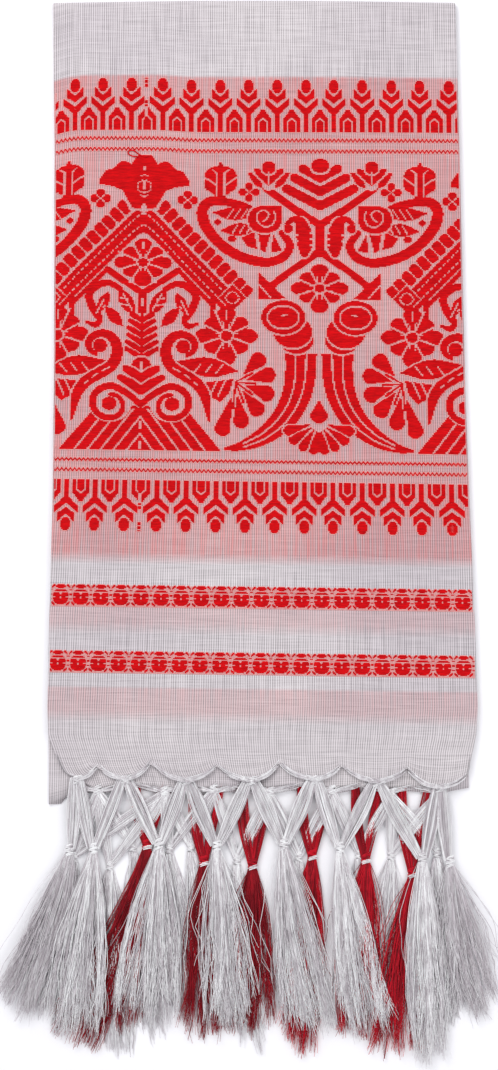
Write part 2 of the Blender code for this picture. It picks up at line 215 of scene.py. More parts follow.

# %% [markdown]
# The fringe is the warp itself: loose cotton singles, white, and deep red where the selvage stripe was
# dyed. Each thread carries a stored shade, so that neighbours can be told apart. On the two outermost
# white skirts and the left red tassels it is also held low, which is painted shade.

# %% Materials: warp ends of the fringe
white_warp = yarn_material(
    "white cotton warp ends", "#c2b9be", "#ffffff", (300.0, 60.0, 300.0), 0.75, 0.35, attribute="shade"
)
red_warp = yarn_material(
    "crimson cotton warp ends", "#7c0012", "#d40a26", (300.0, 60.0, 300.0), 0.7, 0.0, attribute="shade"
)
print("warp materials:", white_warp.name, "and", red_warp.name)

# %% [markdown]
# The sheet follows the solid model's folds. One panel lies on top, its sides turn under through a half
# circle, and at the top edge the whole doubles over. The numbers are the solid model's own, in millimetres.

# %% Folds of the sheet
LAYER_STEP = 1.6  # from the middle of one layer to the next
PANEL_LEVEL = 5.3  # height of the top panel's middle
FOLD_RADIUS = 2.4
PILE_MIDDLE = 2.9
FOLD_EDGE = 328.0
FOLD_BOW = 2.0
SELVAGES = (-7.0, -1.0)  # where the turned-under sides end, left and right
# The side folds from the fringe to the doubled edge: (height, left, right).
SIDES = np.array(
    (
        (-308, -175, 177.4), (-293, -180.4, 180.6), (-270, -181, 182), (-200, -179.6, 179.6),
        (-100, -176.8, 175.2), (0, -175.6, 171.4), (200, -175, 166.6), (328, -176.4, 163),
    )
)
HEM_STARTS = -308.0  # below this height the front panel draws in to its hem
HEM_FOOT = -328.0
FRONT_HEM = (-163.0, 173.6)
FRONT_SIDES_HEM = -338.0
BACK_HEM_STARTS = -322.0
BACK_HEM_TOP = (-180.0, 174.6)
BACK_HEM_CORNER = -352.0
BACK_SIDES_HEM = -344.0
# The front hem's scallops: (cusp at its left, its height, gather at its foot, foot's height).
SCALLOPS = (
    (-163, -326, -157, -328),
    (-138.5, -317.5, -116.5, -328),
    (-93.4, -313.5, -64.6, -329),
    (-38, -317, -9.4, -329),
    (14.8, -315, 44.5, -328),
    (67.5, -317.5, 97.2, -330),
    (122.7, -320, 150.5, -335),
)
HEM_END = (173.6, -326.0)
SCALLOP_POWER = 2.4


def mix(start, end, share):
    return start + (end - start) * share


def smooth(low, high, value):
    """Eases from 0 at low to 1 at high."""
    t = np.clip((value - low) / (high - low), 0.0, 1.0)
    return t * t * (3 - 2 * t)


def scallop_height(x):
    """Height of the front hem at x: a round foot at each gather and a cusp between neighbours."""
    x = np.asarray(x, dtype=float)
    height = np.full(x.shape, HEM_END[1])
    ends = SCALLOPS[1:] + (HEM_END,)
    for (left, left_height, gather, foot), end in zip(SCALLOPS, ends):
        before = np.clip((gather - x) / (gather - left), 0, 1) ** SCALLOP_POWER
        after = np.clip((x - gather) / (end[0] - gather), 0, 1) ** SCALLOP_POWER
        here = np.where(x < gather, mix(foot, left_height, before), mix(foot, end[1], after))
        height = np.where((x >= left) & (x <= end[0]), here, height)
    return height


print("hem height at its ends and middle, mm:", scallop_height([-163.0, 0.0, 173.6]).round(1))

# %% [markdown]
# A folded cloth is never quite flat. Its creases are given: a few long troughs and ridges left
# from folding, slack between the gathers of the hem, and puckers that run up from each gather. They are
# added to the height of the top panel, so that cloth and figure rise and sink together.

# %% Creases of the top panel
# Long soft creases: (x and y of one end, x and y of the other, half width, height), in mm.
CREASES = (
    (-150, 330, -140, 255, 9, 0.5),
    (-158, -180, -150, -318, 7, 0.7),
    (-60, -215, -66, -320, 12, 0.5),
    (-12, -230, -9, -322, 9, 0.6),
    (38, -205, 45, -322, 11, 0.5),
    (96, -225, 98, -322, 10, 0.6),
    (150, -190, 158, -325, 9, 0.8),
    (60, 325, 72, 262, 14, 0.4),
    (-40, 300, 150, 292, 6, 0.25),
    (-170, -168, 60, -176, 8, 0.3),
    (-20, -262, 170, -270, 9, 0.25),
)
WAVE_HEIGHT = 0.35  # of the slow waves that run all over the panel
PUCKER_REACH = 26.0  # how far the puckers run up from a gather
PUCKER_DEPTH = 0.9
SCALLOP_BULGE = 1.2
SCALLOP_TOP = -313.5  # the highest cusp
SCALLOP_DEPTH = 21.5  # from there to the lowest gather


def crease_lift(x, y):
    """How far the top panel stands above its level at a point."""
    lift = WAVE_HEIGHT * np.sin(x / 31.0 + y / 140.0) * np.sin(y / 57.0 + 0.7) + WAVE_HEIGHT
    for x0, y0, x1, y1, width, height in CREASES:
        along = ((x - x0) * (x1 - x0) + (y - y0) * (y1 - y0)) / ((x1 - x0) ** 2 + (y1 - y0) ** 2)
        along = np.clip(along, 0.0, 1.0)
        distance = np.hypot(x - mix(x0, x1, along), y - mix(y0, y1, along))
        lift += 1.5 * height * np.exp(-((distance / width) ** 2))
    for _, _, gather, foot in SCALLOPS:
        angle = np.arctan2(x - gather, y - foot + 6.0)
        distance = np.hypot(x - gather, y - foot)
        fade = np.exp(-((distance / PUCKER_REACH) ** 2)) * smooth(0.0, 5.0, distance)
        lift += PUCKER_DEPTH * fade * (1 + np.cos(angle * 11.0))
    return lift


def sides_at(height, rows=SIDES):
    """Where the left and the right fold lie at a height."""
    return np.interp(height, rows[:, 0], rows[:, 1]), np.interp(height, rows[:, 0], rows[:, 2])


def hem_share(height):
    """0 above the hem of the front panel, 1 at its foot."""
    return np.clip((HEM_STARTS - height) / (HEM_STARTS - HEM_FOOT), 0.0, 1.0)


def panel_point(share, height, lift=0.0):
    """A point of the top panel: share across it, height up it, lift above its middle surface."""
    bow = FOLD_BOW * np.sin(math.pi * np.clip(share, 0, 1)) * smooth(180.0, FOLD_EDGE, height)
    below = hem_share(height)
    hem_x = mix(*FRONT_HEM, share)
    hem_y = scallop_height(hem_x)
    x = mix(mix(*sides_at(height), share), hem_x, below)
    y = mix(height + bow, hem_y, below)
    edge = smooth(0.0, 0.05, share) * smooth(0.0, 0.05, 1 - share)
    rise = crease_lift(x, y) * edge * smooth(FOLD_EDGE, FOLD_EDGE - 12.0, height)
    bulge = SCALLOP_BULGE * below * edge * np.clip((SCALLOP_TOP - hem_y) / SCALLOP_DEPTH, 0, 1)
    return np.stack([x, y, PANEL_LEVEL + rise + bulge + lift], axis=-1)


print("lift of the panel at its middle, mm:", float(crease_lift(0.0, 0.0)))

# %% [markdown]
# The cloth is one grid of points, from the front hem over the doubled edge to the back hem, and from
# selvage to selvage. Each point is put in its place by the fold it belongs to. The grid is fine on the
# panel, where the creases are, and finest at the hem. A Solidify modifier gives the gauze its thickness.

# %% The cloth
SHEET = 0.5  # mm, the visible cloth, thinner than its solid
PANEL_COLUMNS = 112
TURN_COLUMNS = 7
SIDE_COLUMNS = 7
FOLD_ROWS = 13
# Heights of the grid's rows: close together at the front hem, wider above it, widest on the hidden back.
FRONT_HEIGHTS = np.concatenate(
    (np.linspace(HEM_FOOT, HEM_STARTS, 9), np.arange(-304.0, -230.0, 4.0), np.arange(-229.0, 322.0, 6.0))
)
BACK_HEIGHTS = np.concatenate(([322.0], np.linspace(300.0, BACK_HEM_STARTS, 26), [-337.0, -352.0]))
TURN_SHARE = 0.008  # of the panel's width, the cloth in the turn at a side
SIDE_SHARE = 0.49  # and in the part beyond the turn
CLOTH_WIDTH = 403.0  # of the panel, in stitches of the chart
CHART_LEFT = 56.0  # the chart's first stitch, at the panel's left fold
CHART_TOP = 390.0  # the chart's row 0 lies this many stitches above the origin


def slant(row):
    """How far the warp leans across the panel at a row of the chart, in stitches."""
    return 0.02 * (row - 185.0)


def sag(stitch, row):
    """How far the weft hangs below its row, in stitches: at the left end above, at the right end below."""
    upper = 5.5 * np.clip(1 - stitch / 30.0, 0, 1) ** 2 + 2.5 * smooth(94, 144, stitch)
    lower = 6.0 * stitch / 410.0
    return mix(upper, lower, np.clip((row - 80) / 380.0, 0, 1))


# Gathers of the layers behind the front hem: (x, height), in mm.
INNER_GATHERS = (
    (-139.4, -339),
    (-82.5, -340),
    (-40.8, -338),
    (6.8, -341),
    (59.5, -339),
    (109.7, -342),
    (146, -345),
)


def inner_hem(x, level):
    """The lower edge of a layer behind the front panel, lifted between its gathers."""
    nearest = min(abs(x - gather) for gather, _ in INNER_GATHERS)
    return level + 5.0 * min(nearest / 26.0, 1.0) ** 1.5


def sheet_columns():
    """Columns from the left selvage to the right: (part, share)."""
    turns = [i / (TURN_COLUMNS + 1) for i in range(1, TURN_COLUMNS + 1)]
    shares = [i / SIDE_COLUMNS for i in range(SIDE_COLUMNS + 1)]
    columns = [("left side", share) for share in reversed(shares)]
    columns += [("left turn", share) for share in reversed(turns)]
    columns += [("panel", i / PANEL_COLUMNS) for i in range(PANEL_COLUMNS + 1)]
    columns += [("right turn", share) for share in turns]
    columns += [("right side", share) for share in shares]
    return columns


def folded_under(part, share, left, right):
    """Where a column that isn't on the panel lies: (x, depth behind the panel)."""
    turn = LAYER_STEP / 2
    if part == "left side":
        return mix(left, SELVAGES[0], share), LAYER_STEP
    if part == "right side":
        return mix(right, SELVAGES[1], share), LAYER_STEP
    side = -1 if part == "left turn" else 1
    edge = left if part == "left turn" else right
    angle = math.pi * share
    return edge + side * turn * math.sin(angle), turn * (1 - math.cos(angle))


def across_share(part, share):
    """A column's place across the chart, where 0 to 1 is the panel, and the sides lie beyond."""
    if part == "panel":
        return share
    reach = TURN_SHARE * share if part.endswith("turn") else TURN_SHARE + SIDE_SHARE * share
    return -reach if part.startswith("left") else 1 + reach


def front_point(part, share, height):
    if part == "panel":
        return panel_point(np.array(share), np.array(height))
    below = hem_share(height)
    left, right = (mix(side, hem, below) for side, hem in zip(sides_at(height), FRONT_HEM))
    x, depth = folded_under(part, share, left, right)
    hem = inner_hem(x, FRONT_SIDES_HEM - 1.0)
    if part.endswith("turn") or share == 0:
        panel_hem = SCALLOPS[0][1] if part.startswith("left") else HEM_END[1]
        hem = panel_hem - 2.0 * depth / LAYER_STEP
    return np.array((x, mix(max(height, HEM_STARTS), hem, below), PANEL_LEVEL - depth))


def fold_point(part, share, angle):
    _, left, right = SIDES[-1]
    x, depth = mix(left, right, share), 0.0
    if part != "panel":
        x, depth = folded_under(part, share, left, right)
    bow = FOLD_BOW * math.sin(math.pi * min(max((x - left) / (right - left), 0.0), 1.0))
    radius = FOLD_RADIUS - depth
    y = FOLD_EDGE - FOLD_RADIUS + bow + radius * math.sin(angle)
    return np.array((x, y, PILE_MIDDLE + radius * math.cos(angle)))


def back_point(part, share, height):
    rows = SIDES[SIDES[:, 0] > HEM_STARTS]
    left, right = sides_at(height, np.vstack(([BACK_HEM_STARTS, *BACK_HEM_TOP], rows)))
    x, depth = mix(left, right, share), 0.0
    if part != "panel":
        x, depth = folded_under(part, share, left, right)
    below = min(max((BACK_HEM_STARTS - height) / 30.0, 0.0), 1.0)
    hem = inner_hem(x, BACK_SIDES_HEM + 1.0)
    if not (part.endswith("side") and share > 0):
        hem = mix(BACK_HEM_CORNER, hem, float(smooth(-172.0, -160.0, x)))
    y = mix(max(height, BACK_HEM_STARTS), hem, below)
    return np.array((x, y, PILE_MIDDLE - FOLD_RADIUS + depth))


def make_cloth():
    columns = sheet_columns()
    rows = [("front", height) for height in FRONT_HEIGHTS]
    rows += [("fold", math.pi * i / (FOLD_ROWS - 1)) for i in range(FOLD_ROWS)]
    rows += [("back", height) for height in BACK_HEIGHTS]
    places = {"front": front_point, "fold": fold_point, "back": back_point}
    points = []
    maps = []
    for half, value in rows:
        for part, share in columns:
            points.append(places[half](part, share, value) * MM)
            height = value
            if half == "fold":
                height = FOLD_EDGE + value * FOLD_RADIUS
            if half == "back":
                height = 2 * FOLD_EDGE - value
            row = CHART_TOP - height / STITCH
            stitch = across_share(part, share) * CLOTH_WIDTH
            row -= float(sag(stitch, row)) if height > -300 else 0.0
            maps.append(((CHART_LEFT + stitch + slant(row)) * STITCH * MM, row * STITCH * MM))
    wide = len(columns)
    faces = [
        (r * wide + c, r * wide + c + 1, (r + 1) * wide + c + 1, (r + 1) * wide + c)
        for r in range(len(rows) - 1)
        for c in range(wide - 1)
    ]
    mesh = bpy.data.meshes.new("gamosa_cloth")
    mesh.from_pydata([tuple(point) for point in points], [], faces)
    layer = mesh.uv_layers.new(name="cloth")
    corners = np.empty(len(mesh.loops), dtype=np.int32)
    mesh.loops.foreach_get("vertex_index", corners)
    layer.data.foreach_set("uv", np.array(maps, dtype=np.float32)[corners].ravel())
    mesh.materials.append(ground_cotton)
    mesh.shade_smooth()
    cloth = new_object("gamosa_cloth", mesh)
    thick = cloth.modifiers.new("gauze", "SOLIDIFY")
    thick.thickness = SHEET * MM
    thick.offset = 0.0
    return cloth


cloth = make_cloth()
print("cloth:", len(cloth.data.polygons), "faces before it gets its thickness")

# %% [markdown]
# A weaver reads the figure from a chart, stitch by stitch. Here the chart is drawn with a handful of
# strokes, as a hand would draw it: ovals, tapering strokes, drops and filled corners, woven in or left out.
# One chart is in work at a time. Half of one repeat is enough for it, because the figure is mirrored about
# the roof and about the tree.

# %% A chart and the strokes that fill it
HALF_REPEAT = 175.5  # stitches from the roof's axis to the tree's axis
COLUMN = 1.4  # the chart's columns, in stitches, so that outlines are stepped as on the loom

chart = {}  # the chart in work: every stroke below is drawn on it


def new_chart(first, last, half_width, column=COLUMN):
    """Starts a chart: the stitch and the row at the middle of each of its cells, none of them woven."""
    columns = np.arange(column / 2, half_width, column)
    across, down = np.meshgrid(columns, np.arange(first + 0.5, last, 1.0))
    chart.update(s=across, r=down, column=column, woven=np.zeros(across.shape, dtype=bool))


def weave(shape):
    chart["woven"] |= shape


def skip(shape):
    chart["woven"] &= ~shape


def oval(s, r, half_wide, half_high, power=2.0):
    return np.abs((chart["s"] - s) / half_wide) ** power + np.abs((chart["r"] - r) / half_high) ** power <= 1


def ring(s, r, half_wide, half_high, line):
    outer = oval(s, r, half_wide + line / 2, half_high + line / 2)
    return outer & ~oval(s, r, half_wide - line / 2, half_high - line / 2)


def curve(points, steps=6):
    """A smooth path through points of any number of values each."""
    points = np.array(points, dtype=float)
    if len(points) < 3:
        return points
    padded = np.vstack((2 * points[0] - points[1], points, 2 * points[-1] - points[-2]))
    shares = np.linspace(0, 1, steps, endpoint=False)[:, None]
    path = []
    for a, b, c, d in zip(padded, padded[1:], padded[2:], padded[3:]):
        bend = (2 * a - 5 * b + 4 * c - d) * shares**2
        twist = (3 * b - a - 3 * c + d) * shares**3
        path.append(0.5 * (2 * b + (c - a) * shares + bend + twist))
    return np.vstack(path + [points[-1:]])


def stroke(points, dashes=None):
    """A brush stroke through (stitch, row, width) points, whole or broken into dashes."""
    path = curve(points)
    shape = np.zeros(chart["s"].shape, dtype=bool)
    for number, ((s0, r0, w0), (s1, r1, w1)) in enumerate(zip(path, path[1:])):
        if dashes and number % dashes[1] >= dashes[0]:
            continue
        reach = max((s1 - s0) ** 2 + (r1 - r0) ** 2, 1e-6)
        along = ((chart["s"] - s0) * (s1 - s0) + (chart["r"] - r0) * (r1 - r0)) / reach
        along = np.clip(along, 0.0, 1.0)
        distance = np.hypot(chart["s"] - mix(s0, s1, along), chart["r"] - mix(r0, r1, along))
        shape |= distance <= mix(w0, w1, along) / 2
    return shape


def inlay(points, gap):
    """A woven stroke with a pale gap all round it."""
    skip(stroke([(s, r, w + gap) for s, r, w in points]))
    weave(stroke(points))


def leaf(base, tip, width):
    """A leaf, pointed at both ends."""
    middle = (mix(base[0], tip[0], 0.5), mix(base[1], tip[1], 0.5))
    return stroke(((*base, width * 0.25), (*middle, width), (*tip, 1.0)))


def drop(base, head, radius):
    """A drop, narrow at its base and round at its head."""
    return stroke(((*base, 1.0), (*head, 2 * radius)))


def corners(points):
    """The area inside straight edges that turn one way."""
    inside = np.ones(chart["s"].shape, dtype=bool)
    turn = 0.0
    for (s0, r0), (s1, r1) in zip(points, points[1:] + points[:1]):
        turn += s0 * r1 - s1 * r0
    for (s0, r0), (s1, r1) in zip(points, points[1:] + points[:1]):
        side = (s1 - s0) * (chart["r"] - r0) - (r1 - r0) * (chart["s"] - s0)
        inside &= side * turn >= 0
    return inside


def blossom(s, r, half_wide, half_high):
    """A flower of eight rounded petals, with pale lines between them and round its small heart."""
    petals = ((0, -0.77, 0.28, 0.25), (0.43, -0.4, 0.27, 0.26), (0.76, 0, 0.25, 0.23))
    petals += ((0.42, 0.38, 0.28, 0.22), (0, 0.75, 0.29, 0.27))
    for across, down, wide, high in petals:
        for side in (-1, 1):
            place = (s + side * across * half_wide, r + down * half_high)
            weave(oval(*place, 1.14 * wide * half_wide, 1.14 * high * half_high, 1.9))
            weave(stroke(((s, r, 1.5), (*place, 0.3 * half_high))))
    weave(oval(s, r, 0.2 * half_wide, 0.2 * half_high))
    for angle in (24, 63, 110, 152):
        turn = math.radians(angle)
        for side in (-1, 1):
            outer = (s + side * half_wide * math.sin(turn), r - half_high * math.cos(turn), 2.1)
            inner = (s + side * 0.2 * half_wide * math.sin(turn), r - 0.2 * half_high * math.cos(turn), 1.5)
            skip(stroke((inner, outer)))
    skip(ring(s, r, 0.22 * half_wide, 0.22 * half_high, 1.5))
    skip(stroke(((s, r - 0.9 * half_high, 1.5), (s, r - 0.6 * half_high, 1.5))))


def four_petals(s, r):
    for ds, dr in ((0, -5.6), (0, 5.6), (-6.2, 0), (6.2, 0)):
        weave(oval(s + ds, r + dr, 3.9, 3.7, 2.6))
    weave(oval(s, r, 3.0, 3.0))
    for side in (-1, 1):
        skip(stroke(((s - 4.0, r - 3.5 * side, 1.0), (s + 4.0, r + 3.5 * side, 1.0))))


print("strokes: oval, ring, stroke, inlay, leaf, drop, corners, blossom, four petals")

# %% [markdown]
# The wide band is the show piece: a roofed shrine under a parasol with scrolls, leaves and flowers, and
# between two roofs a tree over a pair of horns. These are old motifs of Assamese looms. Rows count down
# from the doubled edge, stitches count out from the roof's axis, and `t` is the tree's axis.

# %% Chart of the wide band
WIDE_ROWS = (156, 456)
ROOF_LINE = 200.5  # the row where the roof's upper line would meet the axis
ROOF_END = 90.0
TEETH = 12


def draw_roof():
    s, r = chart["s"], chart["r"]
    down = r - (ROOF_LINE + np.hypot(s, 4.5))
    roof = s < ROOF_END - np.maximum(down - 14, 0) * 0.4
    weave((down > 1.2) & (down < 28.2) & roof)
    dash = (s % 4.2) < 2.8
    skip((np.abs(down - 8.8) < 0.9) & dash)
    skip((np.abs(down - 20.4) < 0.9) & dash)
    weave((down > 30.0) & (down < 36.5) & (s > 35) & (s < 72))
    weave(stroke(((0, 293.5, 6.2), (17, 282.0, 6.2), (35, 270, 6.6))))
    weave(stroke(((69.5, 295, 5.6), (69.5, 318, 5.6))))
    for number in range(TEETH):
        middle = 19.6 + 7.5 * number
        row = ROOF_LINE + middle - 12.3
        out = ((s - middle) - (r - row)) / math.sqrt(2)
        along = ((s - middle) + (r - row)) / math.sqrt(2)
        weave(np.abs(out / 7.4) ** 4 + np.abs(along / 4.8) ** 4 <= 1)
    end_s, end_r = 89.0, 296.0
    skip(np.abs(s - end_s) + np.abs(r - end_r) <= 14.8)
    weave(np.abs(s - end_s) + np.abs(r - end_r) <= 13.4)
    skip(ring(end_s, end_r, 6.4, 5.8, 1.6) & ((s + r) % 4 < 2.6))


def draw_parasol():
    """A scalloped crown with drooping wings and a notched neck."""
    skip(corners([(0, 183), (25, 190), (14, 211), (0, 211.5)]))
    weave(corners([(0, 156.5), (7.2, 156.5), (14.4, 166), (14.4, 195), (0, 195)]))
    weave(corners([(12, 166), (18.3, 162), (23.9, 162), (31, 169), (31, 187), (12, 195)]))
    weave(corners([(29, 168.5), (38.5, 171), (44, 178.5), (44.6, 184.5), (37, 186), (29, 187)]))
    weave(corners([(0, 190), (22, 190.5), (11.7, 208), (8.3, 209.4), (0, 209.4)]))
    skip(corners([(0, 203), (5, 211), (0, 213)]))
    skip(oval(0, 169, 1.4, 2.4))
    skip(stroke(((0, 175.5, 1.2), (3, 176.5, 1.2))))
    skip(ring(0, 187, 6.6, 6.2, 1.5) & ((chart["s"] + chart["r"]) % 3.5 < 2.4))
    skip(oval(0, 185.5, 1.4, 4.5, 4))
    skip(stroke(((0, 197.5, 1.2), (4, 195.5, 1.2))))


def draw_eaves():
    """Scrolls, leaves and drops that hang under the roof."""
    skip(leaf((38.5, 307), (18.5, 327.5), 15))
    weave(stroke(((22, 289, 5), (34, 283, 6.5), (46, 286.5, 7.5), (53, 296, 7.5), (50, 306, 8))))
    weave(stroke(((50, 306, 8), (45.5, 313, 8), (42, 319.5, 6.5), (46, 325, 5.5), (55, 322, 3))))
    weave(leaf((43, 312), (33.5, 292), 10.5))
    skip(stroke(((38.5, 300, 1.6), (45, 313, 1.6))))
    skip(leaf((37, 307), (19.5, 326), 14))
    weave(leaf((36, 307.5), (19, 326), 11))
    weave(leaf((8, 314), (24, 288), 13.5))
    skip(stroke(((10, 310, 1.6), (19, 294, 1.6))))
    for row in (297, 303):
        skip(stroke(((14, row + 2, 1.6), (22, row + 1, 1.6))))
    skip((chart["s"] < 7.2) & (np.abs(chart["r"] - 303) < 10))
    weave((chart["s"] < 4.4) & (np.abs(chart["r"] - 303) < 10))
    skip(oval(0, 302, 1.4, 4.5, 4))
    for number in range(6):
        row = 320.5 + 7.5 * number
        reach = 11.0 + 0.9 * number
        half_way = (reach / 2, row - 0.34 * reach, 5.4)
        weave(stroke(((0, row, 5.4), half_way, (reach, row - 0.62 * reach, 4.4))))
    weave((chart["s"] < 1.4) & (np.abs(chart["r"] - 334) < 24))


def draw_lotus():
    skip(oval(0, 365, 11.5, 10.5))
    weave(oval(0, 364.5, 9.4, 7.8))
    skip(oval(0, 365.5, 1.4, 5.0, 4))
    for middle, tip, reach in ((377.5, 368.0, 15.5), (390.0, 377.0, 20.5)):
        half_way = (reach * 0.5, mix(middle, tip, 0.55))
        skip(stroke(((0, middle, 12), (*half_way, 12), (reach, tip, 9))))
        weave(stroke(((0, middle, 8.6), (*half_way, 8.8), (reach, tip, 6.5))))


def draw_hook():
    """The long hooked scroll with its ball, and the wings it carries."""
    skip(leaf((34, 362), (97, 369), 23))
    weave(leaf((37, 362), (95, 369), 19.5))
    for start in (52, 63, 74):
        skip(stroke(((start, 371, 1.6), (start + 7, 362, 1.4))))
    weave(corners([(60, 381), (91, 377), (87, 391), (78, 400), (71, 396)]))
    for start in (68, 76):
        skip(stroke(((start, 394, 1.6), (start + 7, 379, 1.6))))
    path = (
        (45, 353.5, 4.5), (51, 349.5, 6), (52, 341, 7), (45, 334.5, 7.5), (35, 334, 8.5),
        (26.5, 341, 10), (24, 353, 11.2), (29.5, 365, 11.6), (41, 373, 11.6), (52, 379.5, 11.6),
        (60, 388, 11), (64.5, 399, 9), (67.5, 418.5, 2.5),
    )
    inlay(path, 3.4)
    skip(stroke(((31, 366.5, 1.5), (45, 375, 1.5), (56, 384, 1.5)), dashes=(3, 5)))
    weave(oval(41, 345.5, 6.8, 6.8))


def draw_fan():
    """Drops that spread from the wing's end."""
    heads = ((115, 358), (124.5, 372.5), (123.5, 391), (114, 406), (99, 418), (81, 426))
    for first, second in zip(heads, heads[1:]):
        between = (mix(first[0], second[0], 0.5), mix(first[1], second[1], 0.5))
        weave(stroke(((93, 380, 1.0), (mix(93, between[0], 0.62), mix(380, between[1], 0.62), 3.0))))
    for head in heads:
        base = (mix(93, head[0], 0.36), mix(380, head[1], 0.36))
        skip(drop(base, head, 10.4))
        weave(drop(base, head, 8.0))


def draw_skirt():
    """The shrine's spreading foot with its slanted lines, and a volute at each side of its top."""
    weave(corners([(0, 404), (46, 409), (79.5, 449), (0, 449)]))
    for foot in (13.0, 26.0, 38.8, 51.5, 64.5):
        reach = min(foot / 0.77, 41.0)
        skip(stroke(((foot, 449.5, 1.9), (foot - 0.77 * reach, 449.5 - reach, 1.9))))
    skip(oval(0, 444, 1.4, 4.2, 4))
    skip(oval(0, 424, 1.4, 4.5, 4))
    skip(oval(30, 401.5, 21.5, 20))
    skip(stroke(((0, 402, 10), (12, 396, 9))))
    volute = (
        (0, 404, 6.5), (12, 394, 6.5), (29, 385.5, 7), (43, 391, 7), (47.5, 402, 6.8),
        (42, 413, 6.4), (30, 417.5, 6), (20, 413, 5.6), (17.5, 404, 5), (22, 396, 4.5), (30, 394, 4),
    )
    weave(stroke(volute))
    weave(oval(31, 403, 7.2, 6.6))


def draw_boat():
    """The curled boat beside the tree, with a leaf on its prow and a quarter rose in its hold."""
    leaf_s = 76.0
    weave(oval(leaf_s, 179, 16.4, 14.2, 2.6))
    weave(stroke(((leaf_s, 162.5, 3), (leaf_s, 172, 18))))
    weave(stroke(((leaf_s, 190, 12), (leaf_s, 200, 9))))
    for side in (-1, 1):
        skip(stroke(((leaf_s + 3.8 * side, 172, 1.7), (leaf_s + 3.8 * side, 194, 1.7))))
        skip(stroke(((leaf_s + 4 * side, 184, 1.7), (leaf_s + 16 * side, 176, 1.7))))
        skip(stroke(((leaf_s + 3.6 * side, 172, 1.5), (leaf_s + 8 * side, 168.5, 1.5))))
        skip(oval(leaf_s + 15 * side, 196, 8, 7))
    hull = (
        (77, 199, 8), (64, 201, 10), (58, 210, 11), (62, 225, 11), (74, 240, 10.5), (91, 252, 10),
        (109, 258.5, 9.5), (126, 260, 9), (140, 254, 8.5), (145.5, 243, 8), (138, 231, 7),
    )
    weave(stroke(hull))
    weave(stroke(((78, 199.5, 8), (97, 204, 8), (112, 210, 6.5))))
    weave(leaf((108, 213.5), (69, 211), 12.5))
    weave(leaf((112, 226.5), (77, 229), 12.5))
    for number in range(3):
        skip(stroke(((83 + 7 * number, 216, 1.3), (89 + 7 * number, 208, 1.3))))
        skip(stroke(((88 + 7 * number, 232, 1.3), (93 + 7 * number, 224, 1.3))))
    weave(oval(73.5, 220.5, 3.4, 3.2))
    weave(oval(88, 237, 3.8, 3.4))
    weave(corners([(97, 236), (110, 230), (113, 247), (104, 245)]))
    weave(corners([(114, 232), (126, 232), (121, 250), (117, 249)]))
    weave(corners([(129, 232), (138, 249), (127, 250)]))
    skip(oval(120.5, 217.5, 18.4, 15.2, 2.3))
    skip(corners([(120, 202.3), (138.9, 202.3), (138.9, 218), (120, 218)]))
    weave(oval(120.5, 217.5, 16.6, 13.4, 2.3))
    weave(corners([(120, 204.1), (137.1, 204.1), (137.1, 217.5), (120, 217.5)]))
    spiral = ((130, 209.5), (130.5, 217.5), (127.5, 223), (121, 225.2), (114.5, 221.5), (112.2, 215))
    spiral += ((115, 209.8), (120.5, 208.5), (124.5, 212), (122.5, 216.3), (119, 219.5))
    skip(stroke([(*point, 1.6) for point in spiral]))


def draw_tree():
    """The tree, its side flowers and paisleys, in stitches counted back from the tree's axis."""
    t = HALF_REPEAT

    def back(points):
        return [(t - s, r, w) for s, r, w in points]

    branches = ((204.0, 187.0, 33.5, 9.2), (190.0, 176.0, 26.0, 9.0), (176.6, 167.0, 17.5, 8.6))
    for middle, tip, reach, width in branches:
        inlay(back(((0, middle, width), (reach, tip, width))), 3.6)
    skip(oval(t, 164, 11.0, 9.0, 2.4))
    weave(oval(t, 164, 9, 6.8, 2.4))
    skip(stroke(((t, 164, 1.8), (t, 172, 1.8))))
    weave(stroke(back(((0, 223, 9), (5, 220, 7.6), (30, 204, 7.4), (54, 187, 7)))))
    weave(oval(t, 236, 4.3, 18, 8))
    weave(stroke(back(((0, 249, 8), (17, 260.5, 7.2), (36, 274, 7.2), (50, 286, 6.5)))))
    flower = t - 51.5
    for side in (-1, 1):
        weave(leaf((flower, 186), (flower + 20.5 * side, 171.5), 11))
    skip(stroke(((flower, 182, 14), (flower, 170, 16))))
    for side in (-1, 1):
        weave(leaf((flower, 183), (flower + 14 * side, 167), 11))
        skip(stroke(((flower + 1 * side, 185, 1.8), (flower + 16 * side, 171, 1.7))))
    skip(oval(flower, 166, 8.4, 8.0, 2.4))
    weave(oval(flower, 166, 6.8, 6.2, 2.4))
    skip(stroke(((flower, 171, 1.6), (flower, 182, 1.6))))
    paisley = ((19, 222, 12), (16, 232, 16), (15, 242, 15), (15.5, 251, 8))
    skip(oval(t - 30, 225, 7.6, 8.6))
    inlay(back(paisley), 4.5)
    weave(stroke(back(((20, 218.5, 8), (27, 217.5, 6), (32.5, 221.5, 5)))))
    weave(oval(t - 31.5, 226.5, 4.6, 4.4))
    for row in (231, 237, 243):
        skip(oval(t - 8, row, 2.0, 0.9))
        skip(oval(t - 23, row + 2, 2.0, 0.9))
    weave(corners([(t - 61, 270), (t - 33, 297), (t - 61, 297)]))
    skip(stroke(((t - 60, 283, 1.6), (t - 49, 295, 1.6)), dashes=(1, 1)))


